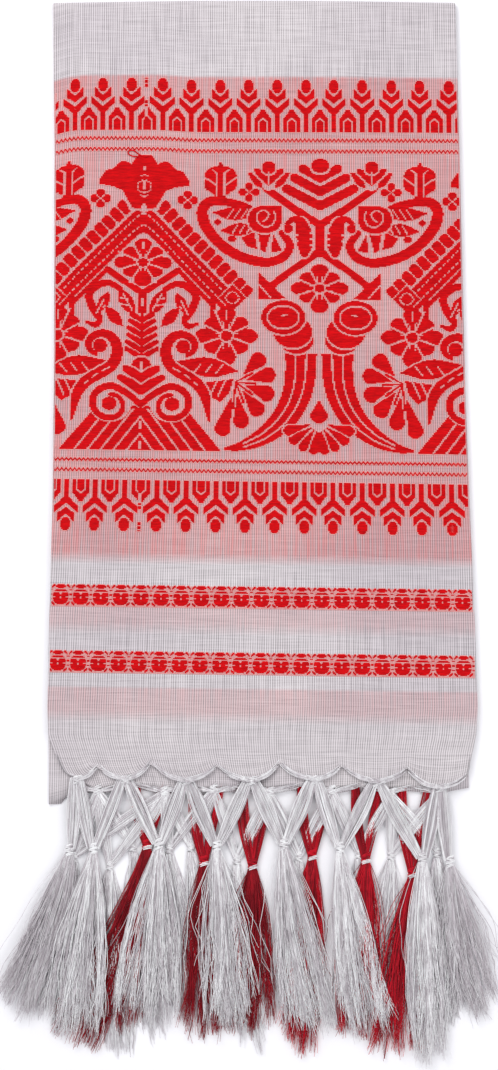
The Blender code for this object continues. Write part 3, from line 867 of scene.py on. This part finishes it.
def draw_horns():
    t = HALF_REPEAT
    centre = ((18, 350, 31), (18.6, 372, 30), (23, 394, 28), (35, 416, 24))
    centre += ((54, 433, 17.5), (74, 443, 10), (92, 447, 3))
    weave(stroke([(t - s, r, w) for s, r, w in centre]))
    skip(oval(t - 20, 338, 30, 13.5, 4))
    for side in (-1, 1):
        line = []
        for (s0, r0, w), (s1, r1, _) in zip(centre, centre[1:]):
            length = math.hypot(s1 - s0, r1 - r0)
            across = side * (r1 - r0) / length * w / 6
            line.append((t - (s0 + across), r0 - side * (s1 - s0) / length * w / 6, 1.7))
        skip(stroke(line))
    for shift, row, wide, high in ((22.5, 338, 16.5, 13.0), (26.5, 329.5, 19.0, 16.0)):
        skip(oval(t - shift, row, wide + 1.8, high + 1.8))
        weave(oval(t - shift, row, wide, high))
    skip(oval(t - 36, 315, 23.4, 18.6))
    weave(oval(t - 36, 315, 21.6, 16.8))
    skip(ring(t - 36, 315, 15.6, 11.4, 1.9))
    skip(stroke(((t - 38, 313.5, 1.4), (t - 32, 312.5, 1.4))))
    weave(drop((t, 397), (t, 411.5), 8.8))
    for head in ((5.5, 446), (15.5, 443), (24.5, 436.5), (30, 427.5)):
        base = (t - head[0] * 0.32, mix(419, head[1], 0.32))
        skip(drop(base, (t - head[0], head[1]), 6.8))
        weave(drop(base, (t - head[0], head[1]), 5.2))


def chart_wide_band():
    new_chart(*WIDE_ROWS, HALF_REPEAT)
    draw_roof()
    draw_parasol()
    blossom(0, 262.5, 27.5, 22.5)
    draw_eaves()
    draw_skirt()
    draw_lotus()
    blossom(83.5, 334, 29.5, 28)
    draw_fan()
    draw_hook()
    draw_boat()
    draw_tree()
    draw_horns()
    blossom(HALF_REPEAT, 286, 27.5, 23)
    four_petals(43.5, 199)
    four_petals(104.5, 190.5)
    return dict(chart)


wide_band = chart_wide_band()
print("wide band: share woven", round(float(wide_band["woven"].mean()), 3))

# %% [markdown]
# The narrow borders are small repeats, so each is charted once, over half a repeat, and then repeated. The
# plants of the two flower borders aren't evenly spaced, and one arch is split where the weaver lost a
# stitch, so the axes are listed.

# %% Charts of the borders and the narrow bands
PLANT_PITCH = 28.7
PLANTS = np.array(
    (46, 74.6, 102.4, 131, 162.6, 191, 220, 248.4, 277, 306, 333.5, 362, 391.5, 419.5, 449, 479)
)
BORDER_ROWS = (80, 131)
LOWER_BORDER_TOP = 479
LOST_STITCH = 146.0  # where an arch is split, in both flower borders
SPLIT_ROWS = (108, 118)  # the rows of the split
WHOLE_ROWS = (89, 102)  # between these, the lost stitch doesn't show
ZIGZAG_ROWS = (139.2, 149.6, 459.0, 469.2)
CELL_PITCH = 19.2
FIRST_CELL = 73.4
NARROW_BANDS = (584, 650)
NARROW_DEPTH = 22
CELL_ROWS = (583, 606)


def chart_border():
    new_chart(*BORDER_ROWS, PLANT_PITCH / 2, column=PLANT_PITCH / 24)
    s, r = chart["s"], chart["r"]
    weave((s < 12.2) & (r > 107.2 - 0.8 * s) & (r < 115.9 - s))
    weave((s < 8.9) & (r > 96.2 - 0.9 * s) & (r < 103.2 - 0.7 * s))
    skip(oval(0, 86.6, 6.3, 8.2, 2.2))
    weave(oval(0, 86.6, 4.9, 6.4, 2.3))
    weave((s < 2.9) & (r > 107.5))
    middle = PLANT_PITCH / 2
    from_arch = middle - s
    weave((from_arch < 8.9) & (r > 109.0 + np.maximum(from_arch - 1.5, 0) * 1.35))
    outline = ((middle, 106.6, 2.0), (12.8, 106.8, 2.0), (4.2, 117.5, 2.0), (4.2, 131, 2.0))
    for line in zip(outline, outline[1:]):
        skip(stroke(line))
    line = (np.abs(from_arch - 3.8) < 0.65) & (r > 120.5)
    skip(line | ((np.abs(r - 117.8 - 0.7 * from_arch) < 0.8) & (from_arch < 4.2)))
    return dict(chart)


def chart_cell():
    new_chart(*CELL_ROWS, CELL_PITCH / 2, column=CELL_PITCH / 28)
    s, r = chart["s"], chart["r"]
    weave(oval(0, 596.3, 7.4, 7.6, 2.8))
    skip((np.abs(r - 591.5) < 0.6) & (s > 0.6))
    skip(oval(0, 592.4, 1.7, 1.2))
    skip(oval(0, 596.8, 1.0, 1.1))
    skip((np.abs(r - 596.5) < 0.6) & (s > 4.8))
    weave(oval(0, 585.8, 4.9, 2.0))
    weave(stroke(((6.5, 585.0, 1.9), (8.3, 586.6, 1.9))))
    for row in (589.5, 594.0, 598.5):
        weave(oval(CELL_PITCH / 2, row, 1.4, 1.0, 4))
    weave(stroke(((6.2, 603.8, 1.9), (8.3, 602.2, 1.9))))
    return dict(chart)


border = chart_border()
cell = chart_cell()
print("border and cell charts:", border["woven"].shape, cell["woven"].shape)

# %% [markdown]
# The charts are now laid out over the whole panel. Its rows are whole stitches. Its columns are finer, so
# that unevenly spaced plants and the lean of the warp don't show as jumps.

# %% The whole panel's chart
FIRST_ROW = 76
LAST_ROW = 680
LAYOUT = 0.35  # the panel's columns, in stitches, a quarter of the chart's
ROOF_AXIS = 144.6


def read_chart(drawn, stitch, row):
    """Whether a chart is woven at given stitches of one of its rows."""
    line = drawn["woven"][int(row - drawn["r"][0, 0] + 0.5)]
    index = np.clip((stitch / drawn["column"]).astype(int), 0, len(line) - 1)
    return line[index]


def from_plants(stitch):
    """Stitches to the nearest plant, stretched so that every gap counts as one pitch."""
    number = np.clip(np.searchsorted(PLANTS, stitch) - 1, 0, len(PLANTS) - 2)
    gap = PLANTS[number + 1] - PLANTS[number]
    step = (stitch - PLANTS[number]) / gap * PLANT_PITCH
    return np.minimum(step, PLANT_PITCH - step)


def lost_stitch(row, stitch, woven):
    """Splits the arch at the lost stitch and leaves a few short floats above it."""
    beside = np.abs(stitch - LOST_STITCH)
    if SPLIT_ROWS[0] <= row < SPLIT_ROWS[1]:
        split = woven & (beside > 1.6)
    else:
        split = woven | ((beside < 1.7) & (row % 4 != 1))
    return np.where(beside < 4, split, woven)


def lay_out_panel():
    stitch = np.arange(CHART_LEFT - 4.2, CHART_LEFT + CLOTH_WIDTH + 12, LAYOUT)
    rows = np.arange(FIRST_ROW, LAST_ROW) + 0.5
    panel = np.zeros((len(rows), len(stitch)), dtype=bool)
    wave = np.abs((stitch / 4.2) % 1.0 - 0.5) * 4 - 1
    away = np.abs((stitch - ROOF_AXIS + HALF_REPEAT) % (2 * HALF_REPEAT) - HALF_REPEAT)
    step = (stitch - FIRST_CELL) % CELL_PITCH
    for line, row in zip(panel, rows):
        for level in (row, BORDER_ROWS[1] - (row - LOWER_BORDER_TOP)):
            if BORDER_ROWS[0] < level < BORDER_ROWS[1]:
                line |= read_chart(border, from_plants(stitch), level)
                if not WHOLE_ROWS[0] <= level <= WHOLE_ROWS[1]:
                    line[:] = lost_stitch(int(level), stitch, line)
        if WIDE_ROWS[0] <= row < WIDE_ROWS[1]:
            line |= read_chart(wide_band, away, row)
        for zigzag in ZIGZAG_ROWS:
            line |= np.abs(row - zigzag - 1.4 * wave) < 1.0
        for top in NARROW_BANDS:
            level = row - top + NARROW_BANDS[0]
            if CELL_ROWS[0] <= level < CELL_ROWS[1]:
                line |= read_chart(cell, np.minimum(step, CELL_PITCH - step), level)
    return stitch, rows, panel


stitches, rows, panel = lay_out_panel()
print("panel chart:", panel.shape, "cells, woven", int(panel.sum()))

# %% [markdown]
# One Geometry Nodes tree makes every thread of the part. It turns edges into curves and sweeps a section
# along them: a low lozenge for a float of the figure weft, a triangle for a warp end of the fringe. Its
# inputs are the thread's width and height and the number of its sides.

# %% The thread tree
def thread_tree():
    tree = bpy.data.node_groups.new("thread", "GeometryNodeTree")
    kinds = {"Geometry": "Geometry", "Width": "Float", "Height": "Float", "Sides": "Int", "Yarn": "Material"}
    names = {}
    for name, kind in kinds.items():
        socket = tree.interface.new_socket(name=name, in_out="INPUT", socket_type="NodeSocket" + kind)
        names[name] = socket.identifier
    tree.interface.new_socket(name="Geometry", in_out="OUTPUT", socket_type="NodeSocketGeometry")
    given = add(tree, "NodeGroupInput").outputs
    paths = add(tree, "GeometryNodeMeshToCurve", {0: given["Geometry"]})
    level = add(tree, "GeometryNodeSetCurveNormal", {0: paths}, mode="Z_UP")
    girth = add(tree, "GeometryNodeInputNamedAttribute", {"Name": "girth"}, data_type="FLOAT")
    sized = add(tree, "GeometryNodeSetCurveRadius", {0: level, "Radius": girth.outputs["Attribute"]})
    section = add(tree, "GeometryNodeCurvePrimitiveCircle", {"Resolution": given["Sides"], "Radius": 0.5})
    scale = add(tree, "ShaderNodeCombineXYZ", {0: given["Width"], 1: given["Height"], 2: 1.0})
    shaped = add(tree, "GeometryNodeTransform", {0: section, "Scale": scale})
    swept = add(tree, "GeometryNodeCurveToMesh", {0: sized, 1: shaped, "Fill Caps": True})
    if "Scale" in swept.inputs:
        tree.links.new(girth.outputs["Attribute"], swept.inputs["Scale"])
    real = add(tree, "GeometryNodeRealizeInstances", {0: swept})
    dressed = add(tree, "GeometryNodeSetMaterial", {0: real, "Material": given["Yarn"]})
    add(tree, "NodeGroupOutput", {0: dressed})
    return tree, names


THREADS, THREAD_INPUTS = thread_tree()


def spin_threads(name, paths, width, height, sides, yarn, girths=None, shades=None):
    """Makes one object of many threads. A path is a list of points in mm, girths and shades go with it."""
    counts = np.array([len(path) for path in paths])
    points = np.vstack(paths) * MM
    first = np.concatenate(([0], np.cumsum(counts)[:-1]))
    inner = np.ones(len(points), dtype=bool)
    inner[first + counts - 1] = False
    starts = np.flatnonzero(inner)
    mesh = bpy.data.meshes.new(name)
    mesh.from_pydata(points.tolist(), np.stack((starts, starts + 1), axis=1).tolist(), [])
    girth = mesh.attributes.new("girth", "FLOAT", "POINT")
    girth.data.foreach_set("value", np.ones(len(points)) if girths is None else np.concatenate(girths))
    shade = mesh.attributes.new("shade", "FLOAT", "POINT")
    shade.data.foreach_set("value", np.repeat(np.full(len(paths), 0.5) if shades is None else shades, counts))
    source = new_object(name + " paths", mesh)
    spinner = source.modifiers.new("thread", "NODES")
    spinner.node_group = THREADS
    settings = {"Width": width * MM, "Height": height * MM, "Sides": sides, "Yarn": yarn}
    for key, value in settings.items():
        spinner[THREAD_INPUTS[key]] = value
    evaluated = source.evaluated_get(bpy.context.evaluated_depsgraph_get())
    result = bpy.data.meshes.new_from_object(evaluated)
    result.name = name
    bpy.data.objects.remove(source, do_unlink=True)
    print(name + ":", len(paths), "threads,", sum(len(f.vertices) - 2 for f in result.polygons), "triangles")
    return new_object(name, result)


# %% [markdown]
# Each run of woven cells in a row becomes one float: a thread that lies on the panel, a little proud of it.
# The cloth was pulled askew on the loom and in folding, so the chart is laid on it with the same small
# bows: the left end of the upper rows droops, and the lower rows fall away to the right.

# %% Floats of the figure weft
FLOAT_STEP = 12.0  # stitches between a float's points
SHORT_STEP = 4.0  # in the narrow bands, which cross the sharpest creases
SHORT_FROM = NARROW_BANDS[0] - 8  # the row where the short steps begin
FLOAT_LIFT = 0.08  # mm, how far a float's middle lies above the ground
PALE_LIFT = 0.07
LOOSE_LIFT = 0.8
FLOAT_HEIGHT = 0.5
PALE_HEIGHT = 0.16
ROW_OVERLAP = 1.16  # a float is a little wider than its row, so that the rows close up


def on_panel(stitch, row, lift):
    """Where a stitch of the chart lies on the panel."""
    share = np.clip((stitch - CHART_LEFT - slant(row)) / CLOTH_WIDTH, 0.001, 0.999)
    height = (CHART_TOP - row - sag(share * CLOTH_WIDTH, row)) * STITCH
    return panel_point(share, height, lift)


def float_paths(woven, lift, first_row, last_row):
    """A path for each run of woven cells between two rows."""
    paths = []
    for row, line in zip(rows, woven):
        if not first_row <= row < last_row:
            continue
        left = CHART_LEFT + float(slant(row))
        edges = np.flatnonzero(np.diff(np.concatenate(([0], line.astype(int), [0]))))
        ends = stitches[0] + (edges.reshape(-1, 2) - 0.5) * LAYOUT
        for start, end in np.clip(ends, left + 0.4, left + CLOTH_WIDTH - 0.4):
            if end - start < 0.6:
                continue
            step = FLOAT_STEP if row < SHORT_FROM else SHORT_STEP
            count = max(2, int((end - start) / step) + 2)
            paths.append(on_panel(np.linspace(start, end, count), np.full(count, row), lift))
    return paths


def grown(woven):
    """The woven cells and the ones a stitch beside, above and below them."""
    wide = woven.copy()
    for shift in (2, 4):  # 4 columns of the panel are one of the chart
        wide[:, shift:] |= woven[:, :-shift]
        wide[:, :-shift] |= woven[:, shift:]
    tall = wide.copy()
    tall[1:] |= woven[:-1]
    tall[:-1] |= woven[1:]
    for top in NARROW_BANDS:
        tall[(rows > top) & (rows < top + NARROW_DEPTH)] = True
    return tall


surface = SHEET / 2
FIGURE_SPANS = (
    ("woven_upper_border", 76, 156),
    ("woven_wide_band", 156, 457),
    ("woven_lower_border", 457, 545),
    ("woven_narrow_bands", 545, 680),
)
figure = []
for name, first, last in FIGURE_SPANS:
    paths = float_paths(panel, surface + FLOAT_LIFT, first, last)
    figure.append(spin_threads(name, paths, STITCH * ROW_OVERLAP, FLOAT_HEIGHT, 4, figure_red))
loose = [(147, 158), (140, 156), (134, 152), (129.5, 151.5), (128, 154.5), (132, 157), (138, 158)]
loop = [on_panel(stitch, row, surface + LOOSE_LIFT) for stitch, row in curve(loose)]
figure.append(spin_threads("loose_end_of_weft", [np.array(loop)], 1.1, 0.7, 4, figure_red))
pale = grown(panel)
for name, first, last in (("pale_stitches_upper", 76, 330), ("pale_stitches_lower", 330, 680)):
    paths = float_paths(pale, surface + PALE_LIFT, first, last)
    figure.append(spin_threads(name, paths, STITCH * ROW_OVERLAP, PALE_HEIGHT, 3, pale_stitch))

# %% [markdown]
# Under the hem the warp ends are drawn together in bundles, knotted, split and knotted again, and then hang
# loose. Every thread is laid by itself here, in locks, because the light that falls between threads is what
# makes a fringe look like one. Random numbers come from seeded generators, so each run gives the same one.

# %% Threads of the fringe
WARP_THICK = 0.62  # mm, a warp end with its fuzz
KNOT_LENGTH = 11.0
KNOT_HALF = 4.4
SKIRT_POINTS = 13
TIPS_RAISED = 6.0  # the front tips stop short, so that the red ones behind them show
LOCK_ENDS = (-16.0, 10.0)  # how far a lock ends below the skirt's tip or above it
LOCK_BEND = 7.0
STRAY_SHARE = 0.1
# How far threads bow aside, end apart and curl, in mm: (those in a lock, stray ones).
WANDER = (2.3, 7.0)
PARTING = (1.4, 8.0)
CURL = (3.0, 5.0)


class Bundle:
    """Collects the paths, girths and shades of the threads that go into one piece."""

    def __init__(self, seed):
        self.random = np.random.default_rng(seed)
        self.paths = []
        self.girths = []
        self.shades = []

    def add(self, path, girth=1.0, tip=1.0, shade=None):
        path = np.asarray(path, dtype=float)
        taper = np.linspace(0, 1, len(path)) ** 4
        self.paths.append(path)
        self.girths.append(mix(girth, girth * tip, taper))
        self.shades.append(self.random.uniform(0.0, 1.0) if shade is None else shade)

    def make(self, name, yarn):
        size = (WARP_THICK, WARP_THICK, 3)
        return spin_threads(name, self.paths, *size, yarn, self.girths, np.array(self.shades))


def hang_skirt(bundle, row, level, threads, locks, tone=1.0):
    """A loose skirt below a knot: threads in locks that fan out to ragged tips."""
    x, top, tip_x, tip_y, spread = row
    random = bundle.random
    root_y = top - KNOT_LENGTH * 0.75
    half = KNOT_HALF * 0.8
    middle = (level[0] + level[1]) / 2
    thick = (level[1] - level[0]) / 2
    along = np.linspace(0.0, 1.0, SKIRT_POINTS)
    swell = np.sin(math.pi * along)
    lock_place = np.linspace(-1, 1, locks) + random.uniform(-0.09, 0.09, locks)
    lock_end = random.uniform(*LOCK_ENDS, locks)
    lock_bend = random.uniform(-LOCK_BEND, LOCK_BEND, locks)
    lock_height = random.uniform(-1.0, 1.0, locks)
    for _ in range(threads):
        lock = random.integers(locks)
        place = lock_place[lock] + random.normal(0, 0.06)
        root = np.clip(place + random.normal(0, 0.35), -1, 1)
        stray = random.random() < STRAY_SHARE
        wander = random.normal(0, WANDER[stray])
        end_x = tip_x + spread * place + random.normal(0, PARTING[stray])
        end_y = tip_y + lock_end[lock] + random.normal(0, 3.5) + 8.0 * abs(place) ** 2
        if stray:
            end_y += random.uniform(-6.0, 45.0)
        xs = x + root * half + (end_x - x - root * half) * along**1.15
        xs += (lock_bend[lock] + wander) * swell
        curl = random.uniform(0.5, CURL[stray])
        xs += curl * along * np.sin(math.tau * along * random.uniform(1.2, 3.2) + random.uniform(0, 6))
        ys = mix(root_y, end_y, along)
        layer = np.clip(lock_height[lock] + random.normal(0, 0.25), -1, 1)
        zs = middle + thick * layer * (0.8 + 0.4 * swell)
        zs = zs + random.uniform(0.0, 1.4) * swell * (1 if layer > 0.4 or stray else 0)
        path = np.stack((xs, ys, np.maximum(zs, 0.4)), axis=1)
        # Painted shade: where tone is below 1 it caps every thread's stored shade, so the whole skirt comes
        # out darker.
        bundle.add(path, 1.0, 0.55, shade=random.uniform(0.0, tone))


def lay_leg(bundle, path, widths, level, threads):
    """A flat bundle of threads along a path. Widths are full widths at the path's points."""
    random = bundle.random
    thick = (level[1] - level[0]) / 2
    guide = curve([(*point, width) for point, width in zip(path, widths)], steps=4)
    ahead = np.gradient(guide[:, :2], axis=0)
    side = np.stack((-ahead[:, 1], ahead[:, 0]), axis=1)
    side /= np.linalg.norm(side, axis=1, keepdims=True)
    for _ in range(threads):
        place = random.uniform(-1, 1)
        height = random.uniform(-1, 1) * math.sqrt(max(1 - place**2, 0.05))
        sway = random.normal(0, 0.12) * np.sin(np.linspace(0, math.pi, len(guide)))
        offset = (place + sway)[:, None] * side * guide[:, 3:4] / 2
        zs = guide[:, 2] + height * thick * 0.8
        bundle.add(np.column_stack((guide[:, :2] + offset, np.maximum(zs, 0.4))))


def tie_knot(bundle, x, top, level, turns=13, half=3.5, length=KNOT_LENGTH):
    """A knot: slanting turns of warp ends round the bundle, fullest in the middle."""
    random = bundle.random
    middle = (level[0] + level[1]) / 2
    rise = (level[1] - level[0]) / 2 + 0.4
    angles = np.linspace(0, 2 * math.pi, 13)
    for number in range(turns):
        share = (number + 0.5) / turns
        fat = 0.72 + 0.28 * math.sin(math.pi * share) ** 0.7
        y = top - length * (0.08 + 0.84 * share)
        slant = (1.0 if number % 5 < 3 else -1.2) + random.normal(0, 0.3)
        xs = x + half * fat * np.cos(angles)
        zs = middle + rise * fat * np.sin(angles)
        ys = y + slant * np.cos(angles) + 0.4 * np.sin(angles)
        bundle.add(np.stack((xs, ys, np.maximum(zs, 0.55)), axis=1), 1.8, shade=random.uniform(0.35, 1.0))


print("fringe threads:", WARP_THICK, "mm thick")

# %% [markdown]
# The front fringe grows out of the scalloped hem. Along each scallop the warp ends are pulled sideways into
# a soft rope that ends at the gather. From there two legs go down, each meets its neighbour's, and at each
# meeting a knot ties them before the skirt falls open.

# %% Front fringe
FRONT_LEVEL = (4.6, 7.0)
BACK_LEVEL = (0.0, 2.0)
RED_LEVEL = (2.3, 4.3)
# Skirts: (knot x, knot top y, tip x, tip y, half width at the tips), in mm, as on the solid model.
FRONT_SKIRTS = (
    (-163.5, -385, -204, -528, 17),
    (-143.1, -384, -159, -540, 23),
    (-87.7, -380, -97, -532, 25),
    (-38.3, -381.5, -29, -534, 20),
    (18.4, -380, 42, -543, 20),
    (66.1, -383, 86, -541, 21),
    (136, -392, 141, -562, 14),
    (159.5, -395, 181, -522, 17),
)
FRONT_THREADS = 300
LEG_THREADS = 75
ROPE_THREADS = 46


def hem_rope(bundle, start, end, edge, threads):
    """Warp ends pulled along a hem from a cusp at start to a gather at end. edge gives points of the hem."""
    random = bundle.random
    for number in range(threads):
        leaves = 0.93 * (number + random.random()) / threads
        path = edge(mix(start, end, np.linspace(leaves, 1.0, 8)))
        closing = np.linspace(0, 1, 8) ** 3
        path[:, 0] += closing * random.uniform(-2.4, 2.4)
        path[:, 1] += random.uniform(-3.0, 1.6) * (1 - closing) - closing * random.uniform(0.0, 4.0)
        path[:, 2] += random.uniform(0.1, 0.7)
        bundle.add(path, 1.1, shade=random.uniform(0.15, 0.75))


def front_edge(xs):
    share = np.clip((xs - FRONT_HEM[0]) / (FRONT_HEM[1] - FRONT_HEM[0]), 0.001, 0.999)
    return panel_point(share, np.full(len(xs), HEM_FOOT))


def inner_edge(xs):
    return np.array([(x, inner_hem(x, FRONT_SIDES_HEM - 1.0), 4.0) for x in xs])


def make_front_fringe():
    skirts = Bundle(seed=11)
    net = Bundle(seed=12)
    ends = SCALLOPS[1:] + (HEM_END,)
    for x, top, tip_x, tip_y, spread in FRONT_SKIRTS:
        # Painted shade: the two outermost skirts get darker grey threads.
        tone = 0.55 if abs(tip_x) > 175 else 1.0
        row = (x, top, tip_x, tip_y + TIPS_RAISED, spread)
        hang_skirt(skirts, row, FRONT_LEVEL, FRONT_THREADS, locks=15, tone=tone)
        tie_knot(net, x, top, FRONT_LEVEL)
    middle = sum(FRONT_LEVEL) / 2
    for number, ((left, _, gather, foot), end) in enumerate(zip(SCALLOPS, ends)):
        hem_rope(net, left, gather, front_edge, ROPE_THREADS)
        hem_rope(net, end[0], gather, front_edge, ROPE_THREADS)
        tie_knot(net, gather, foot + 1.0, FRONT_LEVEL, turns=7, half=3.6, length=8.0)
        for row, side in ((FRONT_SKIRTS[number], -1), (FRONT_SKIRTS[number + 1], 1)):
            start = (gather + side * 2.0, foot - 1.0, middle)
            bend = (mix(gather, row[0], 0.45) - side * 0.4, mix(foot, row[1], 0.5), middle)
            finish = (row[0] - side * 2.0, row[1] - KNOT_LENGTH * 0.4, middle)
            lay_leg(net, (start, bend, finish), (7.5, 11.5, 7.0), FRONT_LEVEL, LEG_THREADS)
    return skirts.make("front_fringe_skirts", white_warp), net.make("front_fringe_knotwork", white_warp)


front_skirts, front_knotwork = make_front_fringe()

# %% [markdown]
# Behind it hangs the fringe of the lower layers, which shows between the front legs and beyond their tips.
# It is built the same way with fewer threads, from small gathers half hidden by the hem.

# %% Back fringe
BACK_SKIRTS = (
    (-160, -392, -178, -530, 15),
    (-129.2, -400, -125, -553, 15),
    (-109.7, -384, -93, -536, 14),
    (-78.2, -386, -64, -527, 12),
    (-60.4, -384, -38, -529, 11),
    (-21.3, -395, -7, -548, 13),
    (31.5, -392, 22, -525, 12),
    (82.5, -390, 75, -532, 13),
    (109.7, -391, 104, -528, 12),
    (149, -389, 158, -530, 14),
)
INNER_LEVEL = (2.6, 4.6)
BACK_THREADS = 130


def make_back_fringe():
    bundle = Bundle(seed=21)
    gathers = sorted(INNER_GATHERS)
    for number, (x, y) in enumerate(gathers):
        tie_knot(bundle, x, y + 4.0, INNER_LEVEL, turns=8, half=3.4, length=9.0)
        before = gathers[number - 1][0] if number else -168.0
        after = gathers[number + 1][0] if number + 1 < len(gathers) else 168.0
        for neighbour in (before, after):
            hem_rope(bundle, mix(x, neighbour, 0.5), x, inner_edge, 22)
    for row in BACK_SKIRTS:
        hang_skirt(bundle, row, BACK_LEVEL, BACK_THREADS, locks=9)
        tie_knot(bundle, row[0], row[1], BACK_LEVEL, turns=10, half=3.2, length=9.0)
        nearest = sorted(INNER_GATHERS, key=lambda gather: abs(gather[0] - row[0]))[:2]
        for x, y in nearest:
            start = (x, y - 2.0, 3.8)
            bend = (mix(x, row[0], 0.45), mix(y, row[1], 0.5), 3.9)
            finish = (row[0], row[1] - KNOT_LENGTH * 0.35, 1.4)
            lay_leg(bundle, (start, bend, finish), (6.5, 10.0, 5.5), (0.0, 1.4), 52)
    return bundle.make("back_fringe_threads", white_warp)


back_fringe = make_back_fringe()

# %% [markdown]
# The red tassels are the dyed warp ends of the selvage stripe. Turning the sides under brings them to the
# middle of the cloth, so they hang between the two white fringes. Some are wound with a bit of white warp.

# %% Red tassels
RED_SKIRTS = {
    "red_tassels_left": (
        (-97.8, -381, -142, -542, 28),
        (-49.3, -395, -50, -533, 14),
        (-8.1, -398, -15, -530, 16),
    ),
    "red_tassels_right": (
        (42.5, -390, 32, -546, 11),
        (88.1, -393, 83, -545, 13),
        (127.5, -405, 118, -549, 18),
    ),
}
RED_THREADS = 215
# Painted shade: the left tassels get a lower cap on their stored shade, so their red is painted darker.
RED_PAINTED_SHADE = (0.4, 1.0)  # the left tassels lie deeper under the white ones, so they look darker


def make_red_tassels():
    pieces = []
    wraps = Bundle(seed=40)
    for seed, (name, skirts) in enumerate(RED_SKIRTS.items()):
        bundle = Bundle(seed=31 + seed)
        tone = RED_PAINTED_SHADE[seed]
        for row in skirts:
            fallen = (*row[:3], row[3] - 2.0, row[4] * 1.3)
            hang_skirt(bundle, fallen, RED_LEVEL, RED_THREADS, locks=12, tone=tone)
            tie_knot(bundle, row[0], row[1], RED_LEVEL, turns=8, half=4.0, length=9.0)
            tie_knot(wraps, row[0] + 0.5, row[1] - 5.5, (2.0, 4.8), turns=3, half=4.0, length=4.0)
            for side in (-1, 1):
                start = (row[0] + side * 12.0 + 3.0, BACK_SIDES_HEM + 12.0, 2.9)
                bend = (row[0] + side * 7.5, mix(BACK_SIDES_HEM, row[1], 0.45), 3.2)
                finish = (row[0] + side, row[1] - KNOT_LENGTH * 0.5, 3.3)
                lay_leg(bundle, (start, bend, finish), (7.0, 8.5, 5.0), RED_LEVEL, 42)
        pieces.append(bundle.make(name, red_warp))
    pieces.append(wraps.make("white_wraps", white_warp))
    return pieces


red_left, red_right, white_wraps = make_red_tassels()

# %% [markdown]
# The floor is plain and pale, so that the gaps in the fringe read as bright as in the photograph. The light
# is soft: a large lamp high at the upper left, a weaker one opposite and a pale sky.

# %% Floor and light
FLOOR_HALF = 3.0


def make_floor():
    mesh = bpy.data.meshes.new("floor")
    around = ((-1, -1), (1, -1), (1, 1), (-1, 1))
    mesh.from_pydata([(x * FLOOR_HALF, y * FLOOR_HALF, 0) for x, y in around], [], [(0, 1, 2, 3)])
    material, tree, shader = new_material("matt white paper")
    shader.inputs["Base Color"].default_value = colour("#f7f6f8")
    shader.inputs["Roughness"].default_value = 0.95
    mesh.materials.append(material)
    return new_object("floor", mesh)


def soft_lamp(name, place, size, power):
    lamp = bpy.data.lights.new(name, "AREA")
    lamp.size = size
    lamp.energy = power
    item = new_object(name, lamp)
    item.location = place
    item.rotation_mode = "QUATERNION"
    item.rotation_quaternion = (-item.location).to_track_quat("-Z", "Y")


floor = make_floor()
soft_lamp("key", (-0.9, 1.2, 1.6), 1.2, 23.0)
soft_lamp("fill", (1.2, -0.5, 1.6), 1.6, 9.0)
sky = bpy.data.worlds.new("pale sky")
sky.use_nodes = True
sky.node_tree.nodes["Background"].inputs["Color"].default_value = colour("#f4f5fa")
sky.node_tree.nodes["Background"].inputs["Strength"].default_value = 0.82
bpy.context.scene.world = sky
bpy.context.scene.view_settings.view_transform = "Standard"
print("lamps: key and fill, under a pale sky")

# %% [markdown]
# Last, every piece is tied to the model: it rides on the one body, and the solid parts it stands for
# are hidden.

# %% Tie the pieces to the model
red_pieces = {"woven_upper_border", "woven_wide_band", "woven_lower_border", "woven_narrow_bands"}
red_pieces |= {"loose_end_of_weft", "red_tassels_left", "red_tassels_right"}
fringes = [front_skirts, front_knotwork, back_fringe, red_left, red_right, white_wraps]
for piece in [cloth, *figure, *fringes]:
    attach(piece, "root")
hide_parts("cloth")
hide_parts("fringe_front")
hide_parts("fringe_back")
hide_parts("fringe_red_left")
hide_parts("fringe_red_right")
